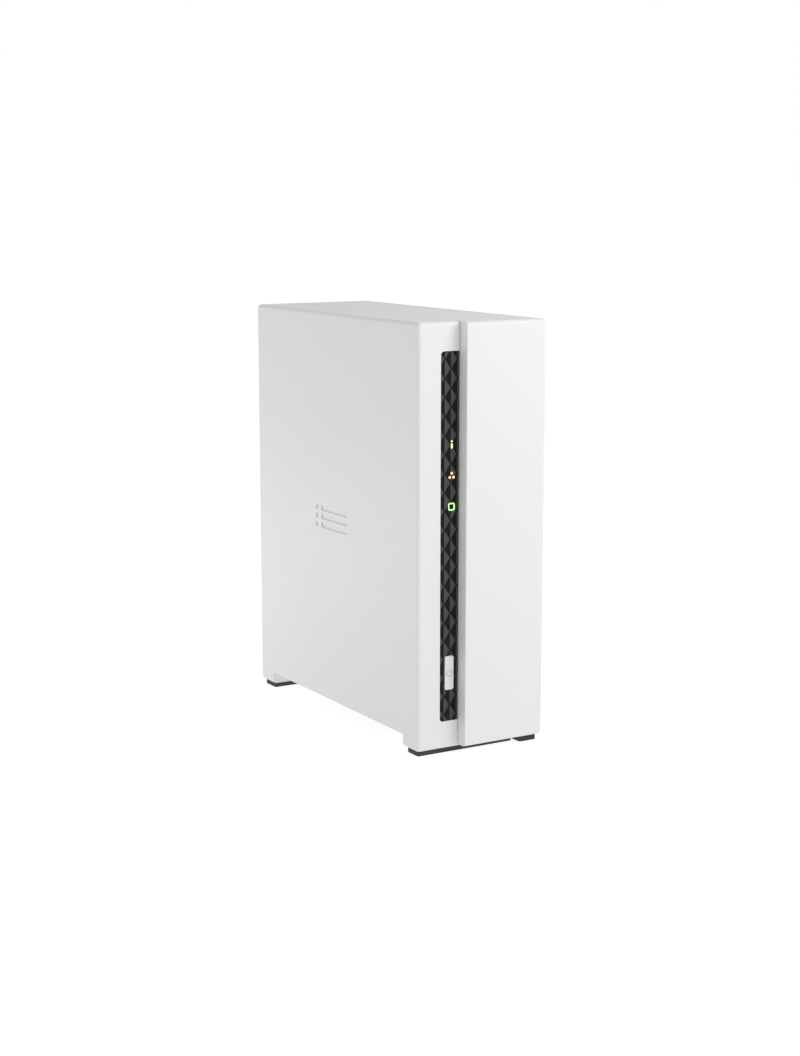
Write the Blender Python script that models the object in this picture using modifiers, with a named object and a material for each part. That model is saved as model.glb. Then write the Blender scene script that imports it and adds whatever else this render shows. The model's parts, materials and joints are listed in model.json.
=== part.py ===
"""One-bay network attached storage unit, modelled piece by piece.

Frame: the origin lies on the ground under the middle of the case, +Z is up, +X is to
the right and the front faces -Y.  Lengths are in metres, written as millimetres * MM.
"""

import math

import bmesh
import bpy
from mathutils import Matrix, Vector, geometry

MM = 0.001


def mm(*values):
    """The values, given in millimetres, as a tuple in metres."""
    return tuple(value * MM for value in values)


# ---------------------------------------------------------------- driving dimensions

WIDTH = 61.8 * MM
DEPTH = 156.0 * MM
HEIGHT = 188.6 * MM
WALL = 2.0 * MM
GAP = 0.3 * MM
OVER = 2.0 * MM
EDGE_RADIUS = 1.6 * MM

LEFT = -WIDTH / 2
RIGHT = WIDTH / 2
FRONT = -DEPTH / 2
BACK = DEPTH / 2

# The left column stands behind the front panel, and the seam parts the two shells
PANEL_STEP = 5.7 * MM
COLUMN_FRONT = FRONT + PANEL_STEP
SEAM = -10.25 * MM
BASE_EDGE = SEAM - GAP / 2
COVER_EDGE = SEAM + GAP / 2
TRAY_EDGE = 20.2 * MM
FLANGE_BACK = COLUMN_FRONT + 4.8 * MM

COLUMN_BOTTOM = 2.2 * MM
PANEL_BOTTOM = 3.2 * MM
ARCH_TOP = 7.8 * MM
FRONT_LEG_BACK = -59.8 * MM
REAR_LEG_FRONT = 64.9 * MM
FLOOR = ARCH_TOP + WALL
CEILING = HEIGHT - WALL
INSIDE_LEFT = LEFT + WALL
INSIDE_RIGHT = RIGHT - WALL
REAR_OUTER = BACK - 1.6 * MM
REAR_INNER = REAR_OUTER - WALL

# Sunken mark on the left side, as (Y, Z)
MARK_CENTRE = mm(4.0, 94.0)

# Front strip with its lights and its button
STRIP_X = (-19.3 * MM, BASE_EDGE)
STRIP_Z = mm(14.8, 175.8)
STRIP_FRONT = COLUMN_FRONT + 0.2 * MM
STRIP_FLANGE_Y = (COLUMN_FRONT + WALL + GAP, COLUMN_FRONT + WALL + GAP + 1.0 * MM)
STRIP_FLANGE_EDGE = 2.0 * MM
LIGHT_X = -13.9 * MM
LENS_GAP = 0.1 * MM
INFO_DOT_Z = 137.7 * MM
INFO_BAR_Z = mm(134.3, 136.6)
INFO_HALF_WIDTH = 0.6 * MM
NETWORK_Z = 122.8 * MM
NETWORK_DOT_RADIUS = 0.62 * MM
NETWORK_DOTS = (mm(0.0, 1.0), mm(-0.95, -0.75), mm(0.95, -0.75))
DISK_LIGHT_Z = 109.3 * MM
DISK_LIGHT_HALF = 1.95 * MM
DISK_LIGHT_STROKE = 0.65 * MM
BUTTON_X = mm(-17.1, -12.6)
BUTTON_Z = mm(28.5, 43.7)
BUTTON_FRONT = COLUMN_FRONT - 0.25 * MM

# Boards: the main board stands along the left wall, the light board behind the strip
MAIN_BOARD_X = mm(-25.2, -23.6)
MAIN_BOARD_Y = mm(-57.0, 73.8)
MAIN_BOARD_Z = mm(13.0, 112.0)
ON_BOARD = MAIN_BOARD_X[1] + GAP
BOARD_SCREW_POSTS = (mm(-50.0, 106.0), mm(46.0, 19.0))
BOARD_PIN_POSTS = (mm(-50.0, 19.0), mm(46.0, 106.0))
LIGHT_BOARD_X = mm(-27.6, -11.0)
LIGHT_BOARD_Y = mm(-61.6, -60.0)
LIGHT_BOARD_Z = mm(22.0, 148.0)
LIGHT_BOARD_SCREW_POST = mm(-24.5, 118.0)
LIGHT_BOARD_PIN_POST = mm(-24.5, 55.0)

# Rear interfaces, all on the main board and facing +Y
SOCKET_FACE = REAR_OUTER + 0.3 * MM
LAN_X = (ON_BOARD, -9.8 * MM)
LAN_Z = mm(34.0, 50.0)
USB_X = (ON_BOARD, -16.5 * MM)
USB_HEIGHT = 14.2 * MM
USB_BOTTOMS = {"usb_port_lower": 58.0 * MM, "usb_port_upper": 79.0 * MM}
INLET_X = (ON_BOARD, -12.3 * MM)
INLET_Z = mm(18.0, 27.6)
RESET_AT = mm(-20.8, 102.0)

# Fan behind the rear grille
FAN_CENTRE = Vector(mm(1.5, 69.1, 142.0))
FAN_SIZE = 50.0 * MM
FAN_DEPTH = 10.0 * MM
FAN_HOLE_PITCH = 20.0 * MM
FAN_BORE = 23.5 * MM
FAN_BLADES = 7

# Disk of the 3.5 inch class, standing on its connector end
DISK_X = mm(-6.0, 20.1)
DISK_Y = mm(-52.0, 49.6)
DISK_Z = mm(28.0, 175.0)
SPINDLE = Vector(mm(0.0, -1.2, 123.0))
PLATTER_RADIUS = 47.5 * MM
ARM_PIVOT = Vector(mm(0.0, 27.0, 72.0))
ARM_LENGTH = 48.0 * MM
ARM_REST = math.radians(21.2)
PLUG_Y = mm(-28.5, 4.5)
PLUG_X = mm(-3.5, -2.3)
BACKPLANE_Z = mm(18.5, 20.1)
SLOT_TOP = 32.7 * MM
DISK_SCREW_X = DISK_X[0] + 6.35 * MM
DISK_SCREW_Z = (DISK_Z[0] + 28.5 * MM, DISK_Z[0] + 130.1 * MM)
DISK_TRAVEL = 6.0 * MM

# Steel frame that holds the disk, and the backplane under it
FRAME_SHEET = 1.0 * MM
FRAME_PLATE_X = mm(-8.0, -7.0)
FRAME_TAB_X = mm(-25.6, -24.6)
FRAME_Z = mm(44.0, 172.0)
FRAME_WALL_POST = mm(-1.2, 162.0)
FRAME_FOOT_TOP = 15.7 * MM
FRAME_FEET_Y = (mm(-50.0, -38.0), mm(36.0, 48.0))
FRAME_FEET = tuple((-2.0 * MM, sum(span) / 2) for span in FRAME_FEET_Y)
BACKPLANE_POST = mm(3.2, -12.0)

COVER_SCREWS = {"cover_screw_lower": mm(25.0, 17.5), "cover_screw_upper": mm(25.0, 178.0)}

# Finishes: base colour, roughness, metallic
WHITE_PLASTIC = ((0.80, 0.80, 0.81), 0.45, 0.0)
BLACK_PLASTIC = ((0.025, 0.025, 0.028), 0.40, 0.0)
RUBBER = ((0.06, 0.06, 0.065), 0.85, 0.0)
GREEN_LENS = ((0.30, 0.85, 0.25), 0.25, 0.0)
AMBER_LENS = ((0.95, 0.62, 0.12), 0.25, 0.0)
CIRCUIT_GREEN = ((0.03, 0.20, 0.09), 0.45, 0.0)
CHIP_BLACK = ((0.03, 0.03, 0.03), 0.55, 0.0)
STEEL = ((0.62, 0.63, 0.65), 0.35, 1.0)
ZINC = ((0.70, 0.71, 0.73), 0.40, 1.0)
ALUMINIUM = ((0.78, 0.79, 0.80), 0.35, 1.0)
LED_WHITE = ((0.90, 0.90, 0.82), 0.40, 0.0)

# ---------------------------------------------------------------- helpers

for old in list(bpy.data.objects):
    bpy.data.objects.remove(old, do_unlink=True)


def new_collection(name):
    collection = bpy.data.collections.new(name)
    bpy.context.scene.collection.children.link(collection)
    return collection


PARTS = new_collection("network_attached_storage")
CUTTERS = new_collection("cutters")

# Turns that bring a piece's own +Z onto the named direction
TOWARDS = {
    "+X": Matrix.Rotation(math.pi / 2, 4, "Y"),
    "+Y": Matrix.Rotation(-math.pi / 2, 4, "X"),
    "-Y": Matrix.Rotation(math.pi / 2, 4, "X"),
    "+Z": Matrix.Identity(4),
}


def add_object(name, bm, collection, centre):
    mesh = bpy.data.meshes.new(name)
    bm.to_mesh(mesh)
    bm.free()
    obj = bpy.data.objects.new(name, mesh)
    collection.objects.link(obj)
    obj.location = centre
    if collection is CUTTERS:
        obj.hide_render = True
        obj.display_type = "WIRE"
    return obj


def paint(obj, finish):
    """Give the object a Principled material of its own."""
    colour, roughness, metallic = finish
    material = bpy.data.materials.new(obj.name + "_finish")
    material.use_nodes = True
    shader = material.node_tree.nodes["Principled BSDF"]
    shader.inputs["Base Color"].default_value = (*colour, 1.0)
    shader.inputs["Roughness"].default_value = roughness
    shader.inputs["Metallic"].default_value = metallic
    obj.data.materials.clear()
    obj.data.materials.append(material)
    return obj


def runs_along(edge, axes):
    """True if the edge is parallel to one of the named axes."""
    run = edge.verts[1].co - edge.verts[0].co
    longest = max(range(3), key=lambda i: abs(run[i]))
    return "xyz"[longest] in axes


def lies_on(edge, side, size):
    """True if both ends of the edge lie on the named side of a centred box."""
    axis = "xyz".index(side[1])
    place = size[axis] / 2 if side[0] == "+" else -size[axis] / 2
    return all(abs(vert.co[axis] - place) < 1e-6 for vert in edge.verts)


def block(name, x, y, z, collection=PARTS, radius=0.0, along="xyz", sharp=(), steps=3):
    """A box between (low, high) pairs, its edges along the named axes rounded.

    Edges that lie on a side named in sharp, such as "+x", stay square.
    """
    low = Vector((x[0], y[0], z[0]))
    high = Vector((x[1], y[1], z[1]))
    size = high - low
    bm = bmesh.new()
    bmesh.ops.create_cube(bm, size=1.0)
    bmesh.ops.scale(bm, vec=size, verts=bm.verts)
    if radius:
        edges = [e for e in bm.edges if runs_along(e, along)]
        edges = [e for e in edges if not any(lies_on(e, side, size) for side in sharp)]
        bmesh.ops.bevel(bm, geom=edges, offset=radius, segments=steps, profile=0.5, affect="EDGES")
    return add_object(name, bm, collection, (low + high) / 2)


def rod(name, centre, radius, length, towards="+Z", sides=16, collection=PARTS):
    """A cylinder on the given centre."""
    bm = bmesh.new()
    bmesh.ops.create_cone(
        bm, cap_ends=True, segments=sides, radius1=radius, radius2=radius, depth=length,
        matrix=TOWARDS[towards],
    )
    obj = add_object(name, bm, collection, centre)
    obj.data.shade_smooth()
    obj.data.set_sharp_from_angle(angle=math.radians(35))
    return obj


def many(name, makers):
    """One cutter from separate bodies; each maker adds one to the mesh that it gets."""
    bm = bmesh.new()
    for maker in makers:
        maker(bm)
    return add_object(name, bm, CUTTERS, (0.0, 0.0, 0.0))


def box_maker(centre, size):
    def add(bm):
        matrix = Matrix.Translation(centre) @ Matrix.Diagonal((*size, 1.0))
        bmesh.ops.create_cube(bm, size=1.0, matrix=matrix)
    return add


def rod_maker(centre, radius, length, towards, sides):
    def add(bm):
        matrix = Matrix.Translation(centre) @ TOWARDS[towards]
        bmesh.ops.create_cone(
            bm, cap_ends=True, segments=sides, radius1=radius, radius2=radius, depth=length,
            matrix=matrix,
        )
    return add


def turned(name, profile, place, towards="+Z", steps=12):
    """A solid of revolution; the profile holds (radius, height), from the top down."""
    bm = bmesh.new()
    verts = [bm.verts.new((radius, 0.0, height)) for radius, height in profile]
    for first, second in zip(verts, verts[1:]):
        bm.edges.new((first, second))
    obj = add_object(name, bm, PARTS, place)
    obj.rotation_euler = TOWARDS[towards].to_euler()
    screw = obj.modifiers.new("turn", "SCREW")
    screw.steps = steps
    screw.render_steps = steps
    screw.use_merge_vertices = True
    screw.merge_threshold = 1e-6
    screw.use_smooth_shade = True
    return obj


def prism(name, outline, depth, centre, frame, collection=PARTS):
    """A flat outline, extruded by depth; frame turns the outline's own X and Y into place."""
    curve = bpy.data.curves.new(name, "CURVE")
    curve.dimensions = "2D"
    curve.fill_mode = "BOTH"
    curve.extrude = depth / 2
    spline = curve.splines.new("POLY")
    spline.points.add(len(outline) - 1)
    for point, (u, v) in zip(spline.points, outline):
        point.co = (u, v, 0.0, 1.0)
    spline.use_cyclic_u = True
    guide = bpy.data.objects.new(name + "_outline", curve)
    bpy.context.scene.collection.objects.link(guide)
    graph = bpy.context.evaluated_depsgraph_get()
    mesh = bpy.data.meshes.new_from_object(guide.evaluated_get(graph))
    bpy.data.objects.remove(guide, do_unlink=True)
    bm = bmesh.new()
    bm.from_mesh(mesh)
    bpy.data.meshes.remove(mesh)
    bmesh.ops.remove_doubles(bm, verts=bm.verts, dist=1e-6)
    bmesh.ops.transform(bm, matrix=frame, verts=bm.verts)
    bmesh.ops.recalc_face_normals(bm, faces=bm.faces)
    return add_object(name, bm, collection, centre)


# An outline's (u, v) as (Y, Z), as (X, Z) or as (X, Y)
SEEN_FROM_SIDE = Matrix(((0, 0, 1, 0), (1, 0, 0, 0), (0, 1, 0, 0), (0, 0, 0, 1)))
SEEN_FROM_FRONT = Matrix.Rotation(math.pi / 2, 4, "X")
SEEN_FROM_ABOVE = Matrix.Identity(4)


def combine(target, tools, operation):
    for tool in tools:
        modifier = target.modifiers.new(tool.name, "BOOLEAN")
        modifier.operation = operation
        modifier.solver = "EXACT"
        modifier.object = tool
    return target


def cut(target, *tools):
    return combine(target, tools, "DIFFERENCE")


def join(target, *tools):
    return combine(target, tools, "UNION")


def tool(name, x, y, z, **options):
    """A box in the cutters' collection."""
    return block(name, x, y, z, collection=CUTTERS, **options)


def tool_rod(name, centre, radius, length, towards="+Z", sides=16):
    return rod(name, centre, radius, length, towards, sides, CUTTERS)


def grow(span, by):
    """The (low, high) pair with both ends moved outwards."""
    return (span[0] - by, span[1] + by)


def about(middle, half):
    return (middle - half, middle + half)


def on_pivot(name, place, *pieces):
    """Put the pieces under an empty that stands on their joint's axis."""
    pivot = bpy.data.objects.new(name, None)
    PARTS.objects.link(pivot)
    pivot.location = place
    pivot.empty_display_size = 0.01
    for piece in pieces:
        piece.location = piece.location - pivot.location
        piece.parent = pivot
    return pivot


def screw_piece(name, seat, towards, head_radius, head_height, shank_radius, shank_length):
    """A socket-headed screw; seat is the point where its shank leaves the head."""
    socket = head_radius * 0.5
    profile = (
        (0.0, head_height * 0.4),
        (socket, head_height * 0.4),
        (socket, head_height),
        (head_radius * 0.8, head_height),
        (head_radius, head_height * 0.7),
        (head_radius, 0.0),
        (shank_radius, 0.0),
        (shank_radius, shank_radius - shank_length),
        (shank_radius * 0.4, -shank_length),
        (0.0, -shank_length),
    )
    return paint(turned(name, profile, seat, towards), ZINC)


# ---------------------------------------------------------------- case


def rear_openings():
    """Cutters through the rear wall: sockets, reset, lock slot, grilles and screws."""
    through = (REAR_INNER - OVER, BACK + OVER)
    wall_middle = (REAR_INNER + REAR_OUTER) / 2
    depth = WALL + 2 * OVER
    cutters = [
        tool("hole_lan", grow(LAN_X, GAP), through, grow(LAN_Z, GAP)),
        tool("hole_inlet", grow(INLET_X, GAP), through, grow(INLET_Z, GAP)),
        tool("hole_lock", mm(12.0, 19.0), through, mm(22.0, 25.2), radius=1.2 * MM, along="y"),
    ]
    for name, bottom in USB_BOTTOMS.items():
        span = (bottom, bottom + USB_HEIGHT)
        cutters.append(tool("hole_" + name, grow(USB_X, GAP), through, grow(span, GAP)))

    reset_x, reset_z = RESET_AT
    round_holes = [rod_maker((reset_x, wall_middle, reset_z), 1.5 * MM, depth, "+Y", 16)]
    for dx in (-FAN_HOLE_PITCH, FAN_HOLE_PITCH):
        for dz in (-FAN_HOLE_PITCH, FAN_HOLE_PITCH):
            place = (FAN_CENTRE.x + dx, wall_middle, FAN_CENTRE.z + dz)
            round_holes.append(rod_maker(place, 1.9 * MM, depth, "+Y", 12))
    for x, z in COVER_SCREWS.values():
        round_holes.append(rod_maker((x, wall_middle, z), 1.9 * MM, depth, "+Y", 12))
    cutters.append(many("holes_round", round_holes))
    cutters.append(many("grille_fan", honeycomb(wall_middle, depth)))
    cutters.append(many("grille_lower", slot_rows(wall_middle, depth)))
    return cutters


def honeycomb(middle_y, depth):
    """Hexagonal holes that fill the circle in front of the fan."""
    pitch = 5.8 * MM
    radius = 2.6 * MM
    reach = FAN_BORE - radius
    rows = int(reach / pitch) + 2
    holes = []
    for row in range(-rows, rows + 1):
        for column in range(-rows, rows + 1):
            x = (column + 0.5 * (row % 2)) * pitch
            z = row * pitch * math.sqrt(0.75)
            if math.hypot(x, z) < reach:
                place = (FAN_CENTRE.x + x, middle_y, FAN_CENTRE.z + z)
                holes.append(rod_maker(place, radius, depth, "+Y", 6))
    return holes


def slot_rows(middle_y, depth):
    """Level slots in the lower part of the rear wall."""
    count = 10
    pitch = 6.0 * MM
    size = (24.0 * MM, depth, 2.6 * MM)
    return [box_maker((11.5 * MM, middle_y, 40.0 * MM + i * pitch), size) for i in range(count)]


def intake_slots():
    """Air slots across the tray's floor, between the legs."""
    count = 11
    pitch = 9.0 * MM
    middle_z = ARCH_TOP + WALL / 2
    size = (16.0 * MM, 3.0 * MM, WALL + 2 * OVER)
    first = -(count - 1) / 2 * pitch
    return [box_maker((4.5 * MM, first + i * pitch, middle_z), size) for i in range(count)]


def side_mark():
    """Generic mark sunk into the left side: three stacked bars, each with a dot."""
    depth = 0.5 * MM
    span = (LEFT - OVER, LEFT + depth)
    rise = 4.0 * MM
    half_height = 1.2 * MM
    bars = []
    dots = []
    for row in (-1, 0, 1):
        z = MARK_CENTRE[1] + row * rise
        bar_y = (MARK_CENTRE[0] - 15.0 * MM, MARK_CENTRE[0] + 10.0 * MM)
        bars.append(tool(f"mark_bar_{row + 1}", span, bar_y, about(z, half_height),
                         radius=half_height * 0.95, along="x"))
        place = (sum(span) / 2, MARK_CENTRE[0] + 13.8 * MM, z)
        dots.append(rod_maker(place, half_height, span[1] - span[0], "+X", 16))
    return [*bars, many("mark_dots", dots)]


def make_base_shell():
    """Left shell: side, front column, top strip, tray with both leg beams, rear wall."""
    shell = block(
        "base_shell", (LEFT, TRAY_EDGE), (COLUMN_FRONT, BACK), (COLUMN_BOTTOM, HEIGHT),
        radius=EDGE_RADIUS, sharp=("+x",),
    )
    outside_y = (COLUMN_FRONT - OVER, BACK + OVER)
    past_tray = TRAY_EDGE + OVER
    cut(
        shell,
        tool("base_open_side", (BASE_EDGE, past_tray), outside_y, (FLOOR, HEIGHT + OVER)),
        tool(
            "base_cavity", (INSIDE_LEFT, past_tray), (COLUMN_FRONT + WALL, REAR_INNER),
            (FLOOR, CEILING),
        ),
        tool("base_rear_rim", (INSIDE_LEFT, past_tray), (REAR_OUTER, BACK + OVER), (FLOOR, CEILING)),
        tool("base_arch", (LEFT - OVER, past_tray), (FRONT_LEG_BACK, REAR_LEG_FRONT), (-OVER, ARCH_TOP)),
        tool(
            "strip_recess", (STRIP_X[0] - GAP, BASE_EDGE + OVER),
            (COLUMN_FRONT - OVER, COLUMN_FRONT + WALL + OVER), grow(STRIP_Z, GAP),
            radius=1.5 * MM, along="y", sharp=("+x",),
        ),
    )
    plate_right = INSIDE_RIGHT - GAP
    lip = (
        (-14.0 * MM, CEILING + 0.8 * MM),
        (BASE_EDGE - 0.4 * MM, CEILING + 0.8 * MM),
        (BASE_EDGE - 0.4 * MM, CEILING - GAP),
        (-7.4 * MM, CEILING - GAP),
        (-7.4 * MM, CEILING - WALL),
        (-14.0 * MM, CEILING - WALL),
    )
    lip_y = (FLANGE_BACK + 2.0 * MM, REAR_INNER + WALL / 2)
    join(
        shell,
        tool("rear_plate", (BASE_EDGE - OVER, plate_right), (REAR_INNER, REAR_OUTER),
             (FLOOR + GAP, CEILING - GAP)),
        tool("rear_sill", (BASE_EDGE - OVER, TRAY_EDGE), (REAR_INNER, REAR_OUTER),
             (FLOOR - WALL / 2, FLOOR + WALL / 2)),
        prism("seam_lip", lip, lip_y[1] - lip_y[0], (0.0, sum(lip_y) / 2, 0.0),
              SEEN_FROM_FRONT, CUTTERS),
    )
    add_posts(shell)
    cut(shell, *rear_openings(), many("slots_intake", intake_slots()), *side_mark())
    return paint(shell, WHITE_PLASTIC)


def post_makers(foot, top, radius, towards, screw_radius=0.0, pin_radius=0.0):
    """A post from foot to top as (solids, bores), with a screw bore or a locating pin."""
    foot = Vector(foot)
    top = Vector(top)
    run = top - foot
    solids = [rod_maker((foot + top) / 2, radius, run.length, towards, 16)]
    bores = []
    if pin_radius:
        pin_end = top + run.normalized() * 2.6 * MM
        root = top - run.normalized() * MM
        middle = (pin_end + root) / 2
        solids.append(rod_maker(middle, pin_radius, (pin_end - root).length, towards, 12))
    if screw_radius:
        depth = min(run.length, 6.5 * MM)
        middle = top - run.normalized() * (depth - OVER) / 2
        bores.append(rod_maker(middle, screw_radius, depth + OVER, towards, 12))
    return solids, bores


def add_posts(shell):
    """Posts for the main board, the light board, the backplane and the drive frame."""
    wall_foot = INSIDE_LEFT - WALL / 2
    board_top = MAIN_BOARD_X[0] - GAP
    column_foot = COLUMN_FRONT + WALL / 2
    light_top = LIGHT_BOARD_Y[0] - GAP
    floor_foot = FLOOR - WALL / 2
    frame_top = FRAME_TAB_X[0] - GAP
    made = []
    for y, z in BOARD_SCREW_POSTS:
        made.append(post_makers((wall_foot, y, z), (board_top, y, z), 3.0 * MM, "+X",
                                screw_radius=1.3 * MM))
    for y, z in BOARD_PIN_POSTS:
        made.append(post_makers((wall_foot, y, z), (board_top, y, z), 3.0 * MM, "+X",
                                pin_radius=1.1 * MM))
    x, z = LIGHT_BOARD_SCREW_POST
    made.append(post_makers((x, column_foot, z), (x, light_top, z), 2.4 * MM, "+Y",
                            screw_radius=1.2 * MM))
    x, z = LIGHT_BOARD_PIN_POST
    made.append(post_makers((x, column_foot, z), (x, light_top, z), 2.4 * MM, "+Y",
                            pin_radius=1.0 * MM))
    for x, y in FRAME_FEET:
        top = FRAME_FOOT_TOP - FRAME_SHEET - GAP
        made.append(post_makers((x, y, floor_foot), (x, y, top), 3.2 * MM, "+Z",
                                screw_radius=1.4 * MM))
    x, y = BACKPLANE_POST
    made.append(post_makers((x, y, floor_foot), (x, y, BACKPLANE_Z[0] - GAP), 3.0 * MM, "+Z",
                            pin_radius=1.2 * MM))
    y, z = FRAME_WALL_POST
    made.append(post_makers((wall_foot, y, z), (frame_top, y, z), 3.2 * MM, "+X",
                            pin_radius=1.2 * MM))
    join(shell, many("posts", [maker for solids, _ in made for maker in solids[:1]]))
    join(shell, many("post_pins", [maker for solids, _ in made for maker in solids[1:]]))
    cut(shell, many("post_bores", [maker for _, bores in made for maker in bores]))


def make_case_cover():
    """Right shell: proud front panel, top, side, and a narrow bottom with its leg ends."""
    cover = block(
        "case_cover", (COVER_EDGE, RIGHT), (FRONT, BACK), (PANEL_BOTTOM, HEIGHT),
        radius=EDGE_RADIUS, sharp=("-x",),
    )
    open_left = COVER_EDGE - OVER
    cut(
        cover,
        tool("cover_pocket", (COVER_EDGE + WALL, INSIDE_RIGHT), (FRONT + WALL, FLANGE_BACK + OVER),
             (PANEL_BOTTOM + WALL, CEILING)),
        tool("cover_cavity", (open_left, INSIDE_RIGHT), (FLANGE_BACK, BACK + OVER), (FLOOR, CEILING)),
        tool("cover_under", (open_left, TRAY_EDGE + GAP), (COLUMN_FRONT - GAP, BACK + OVER),
             (0.0, FLOOR + GAP)),
        tool("cover_arch", (TRAY_EDGE, RIGHT + OVER), (FRONT_LEG_BACK, REAR_LEG_FRONT), (0.0, ARCH_TOP)),
    )
    ribs = [tool(f"cover_rib_{level}", (INSIDE_RIGHT - 1.8 * MM, INSIDE_RIGHT + WALL / 2),
                 (FRONT + WALL / 2, 60.0 * MM), about(z, 0.6 * MM))
            for level, z in enumerate(mm(45.0, 78.0, 111.0))]
    join(cover, *ribs)
    boss_y = (66.0 * MM, REAR_INNER - GAP)
    for name, (x, z) in COVER_SCREWS.items():
        join(cover, tool(name + "_boss", (x - 3.5 * MM, INSIDE_RIGHT + WALL / 2), boss_y,
                         about(z, 3.5 * MM)))
        cut(cover, tool_rod(name + "_bore", (x, sum(boss_y) / 2, z), 1.8 * MM, 14.0 * MM, "+Y", 12))
    return paint(cover, WHITE_PLASTIC)


def make_cover_screws():
    for name, (x, z) in COVER_SCREWS.items():
        screw_piece(name, (x, REAR_OUTER + GAP, z), "+Y", 3.1 * MM, 1.2 * MM, 1.4 * MM, 8.5 * MM)


def make_feet():
    """Rubber pads: long strips under the base, short pads under the cover."""
    base_x = (LEFT + 1.3 * MM, TRAY_EDGE - 0.8 * MM)
    cover_x = mm(21.2, 30.0)
    base_z = (0.0, COLUMN_BOTTOM - GAP)
    cover_z = (0.0, PANEL_BOTTOM - GAP)
    rear_y = (REAR_LEG_FRONT + 0.5 * MM, BACK - 2.4 * MM)
    pads = {
        "foot_strip_front": (base_x, (COLUMN_FRONT + 1.7 * MM, FRONT_LEG_BACK - 1.8 * MM), base_z),
        "foot_strip_rear": (base_x, rear_y, base_z),
        "cover_foot_front": (cover_x, (FRONT + 3.6 * MM, -66.0 * MM), cover_z),
        "cover_foot_rear": (cover_x, rear_y, cover_z),
    }
    made = {}
    for name, (x, y, z) in pads.items():
        made[name] = paint(block(name, x, y, z, radius=0.8 * MM, along="z"), RUBBER)
    return made


# ---------------------------------------------------------------- front strip


def dot_places():
    return [(LIGHT_X + dx, NETWORK_Z + dz) for dx, dz in NETWORK_DOTS]


def make_front_strip():
    strip = block(
        "front_strip", STRIP_X, (STRIP_FRONT, STRIP_FLANGE_Y[1]), STRIP_Z,
        radius=1.2 * MM, along="y", sharp=("+x",),
    )
    flange_x = (STRIP_X[0] - STRIP_FLANGE_EDGE, STRIP_X[1])
    join(strip, tool("strip_flange", flange_x, STRIP_FLANGE_Y, grow(STRIP_Z, STRIP_FLANGE_EDGE)))
    through = (STRIP_FRONT - OVER, STRIP_FLANGE_Y[1] + OVER)
    middle = sum(through) / 2
    depth = through[1] - through[0]
    lens = [rod_maker((LIGHT_X, middle, INFO_DOT_Z), INFO_HALF_WIDTH + LENS_GAP, depth, "+Y", 12)]
    for x, z in dot_places():
        lens.append(rod_maker((x, middle, z), NETWORK_DOT_RADIUS + LENS_GAP, depth, "+Y", 12))
    cut(
        strip,
        many("lens_round", lens),
        tool("lens_bar", about(LIGHT_X, INFO_HALF_WIDTH + LENS_GAP), through, grow(INFO_BAR_Z, LENS_GAP)),
        tool("lens_square", about(LIGHT_X, DISK_LIGHT_HALF + LENS_GAP), through,
             about(DISK_LIGHT_Z, DISK_LIGHT_HALF + LENS_GAP), radius=0.9 * MM, along="y"),
        tool("button_hole", grow(BUTTON_X, GAP), through, grow(BUTTON_Z, GAP),
             radius=1.2 * MM, along="y"),
    )
    return paint(strip, BLACK_PLASTIC)


def make_light_pipes():
    """Clear pipes that carry the light board's LEDs to the strip's face."""
    pipe_y = (STRIP_FLANGE_Y[1] + GAP, -63.0 * MM)
    face_y = (STRIP_FRONT, pipe_y[0] + 1.0 * MM)
    face_middle = sum(face_y) / 2
    face_depth = face_y[1] - face_y[0]
    wide = about(LIGHT_X, 2.6 * MM)

    info = block("info_light_pipe", wide, pipe_y, mm(133.0, 139.5))
    join(
        info,
        tool("info_bar", about(LIGHT_X, INFO_HALF_WIDTH), face_y, INFO_BAR_Z),
        tool_rod("info_dot", (LIGHT_X, face_middle, INFO_DOT_Z), INFO_HALF_WIDTH, face_depth, "+Y", 12),
    )
    paint(info, GREEN_LENS)

    network = block("network_light_pipe", wide, pipe_y, about(NETWORK_Z, 3.2 * MM))
    dots = [rod_maker((x, face_middle, z), NETWORK_DOT_RADIUS, face_depth, "+Y", 12)
            for x, z in dot_places()]
    join(network, many("network_dots", dots))
    paint(network, AMBER_LENS)

    disk = block("disk_light_pipe", wide, pipe_y, about(DISK_LIGHT_Z, 3.2 * MM))
    inner = DISK_LIGHT_HALF - DISK_LIGHT_STROKE
    join(disk, tool("disk_ring", about(LIGHT_X, DISK_LIGHT_HALF), face_y,
                    about(DISK_LIGHT_Z, DISK_LIGHT_HALF), radius=0.8 * MM, along="y"))
    cut(disk, tool("disk_ring_well", about(LIGHT_X, inner), (STRIP_FRONT - OVER, STRIP_FRONT + 0.8 * MM),
                   about(DISK_LIGHT_Z, inner), radius=0.4 * MM, along="y"))
    paint(disk, GREEN_LENS)


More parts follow.
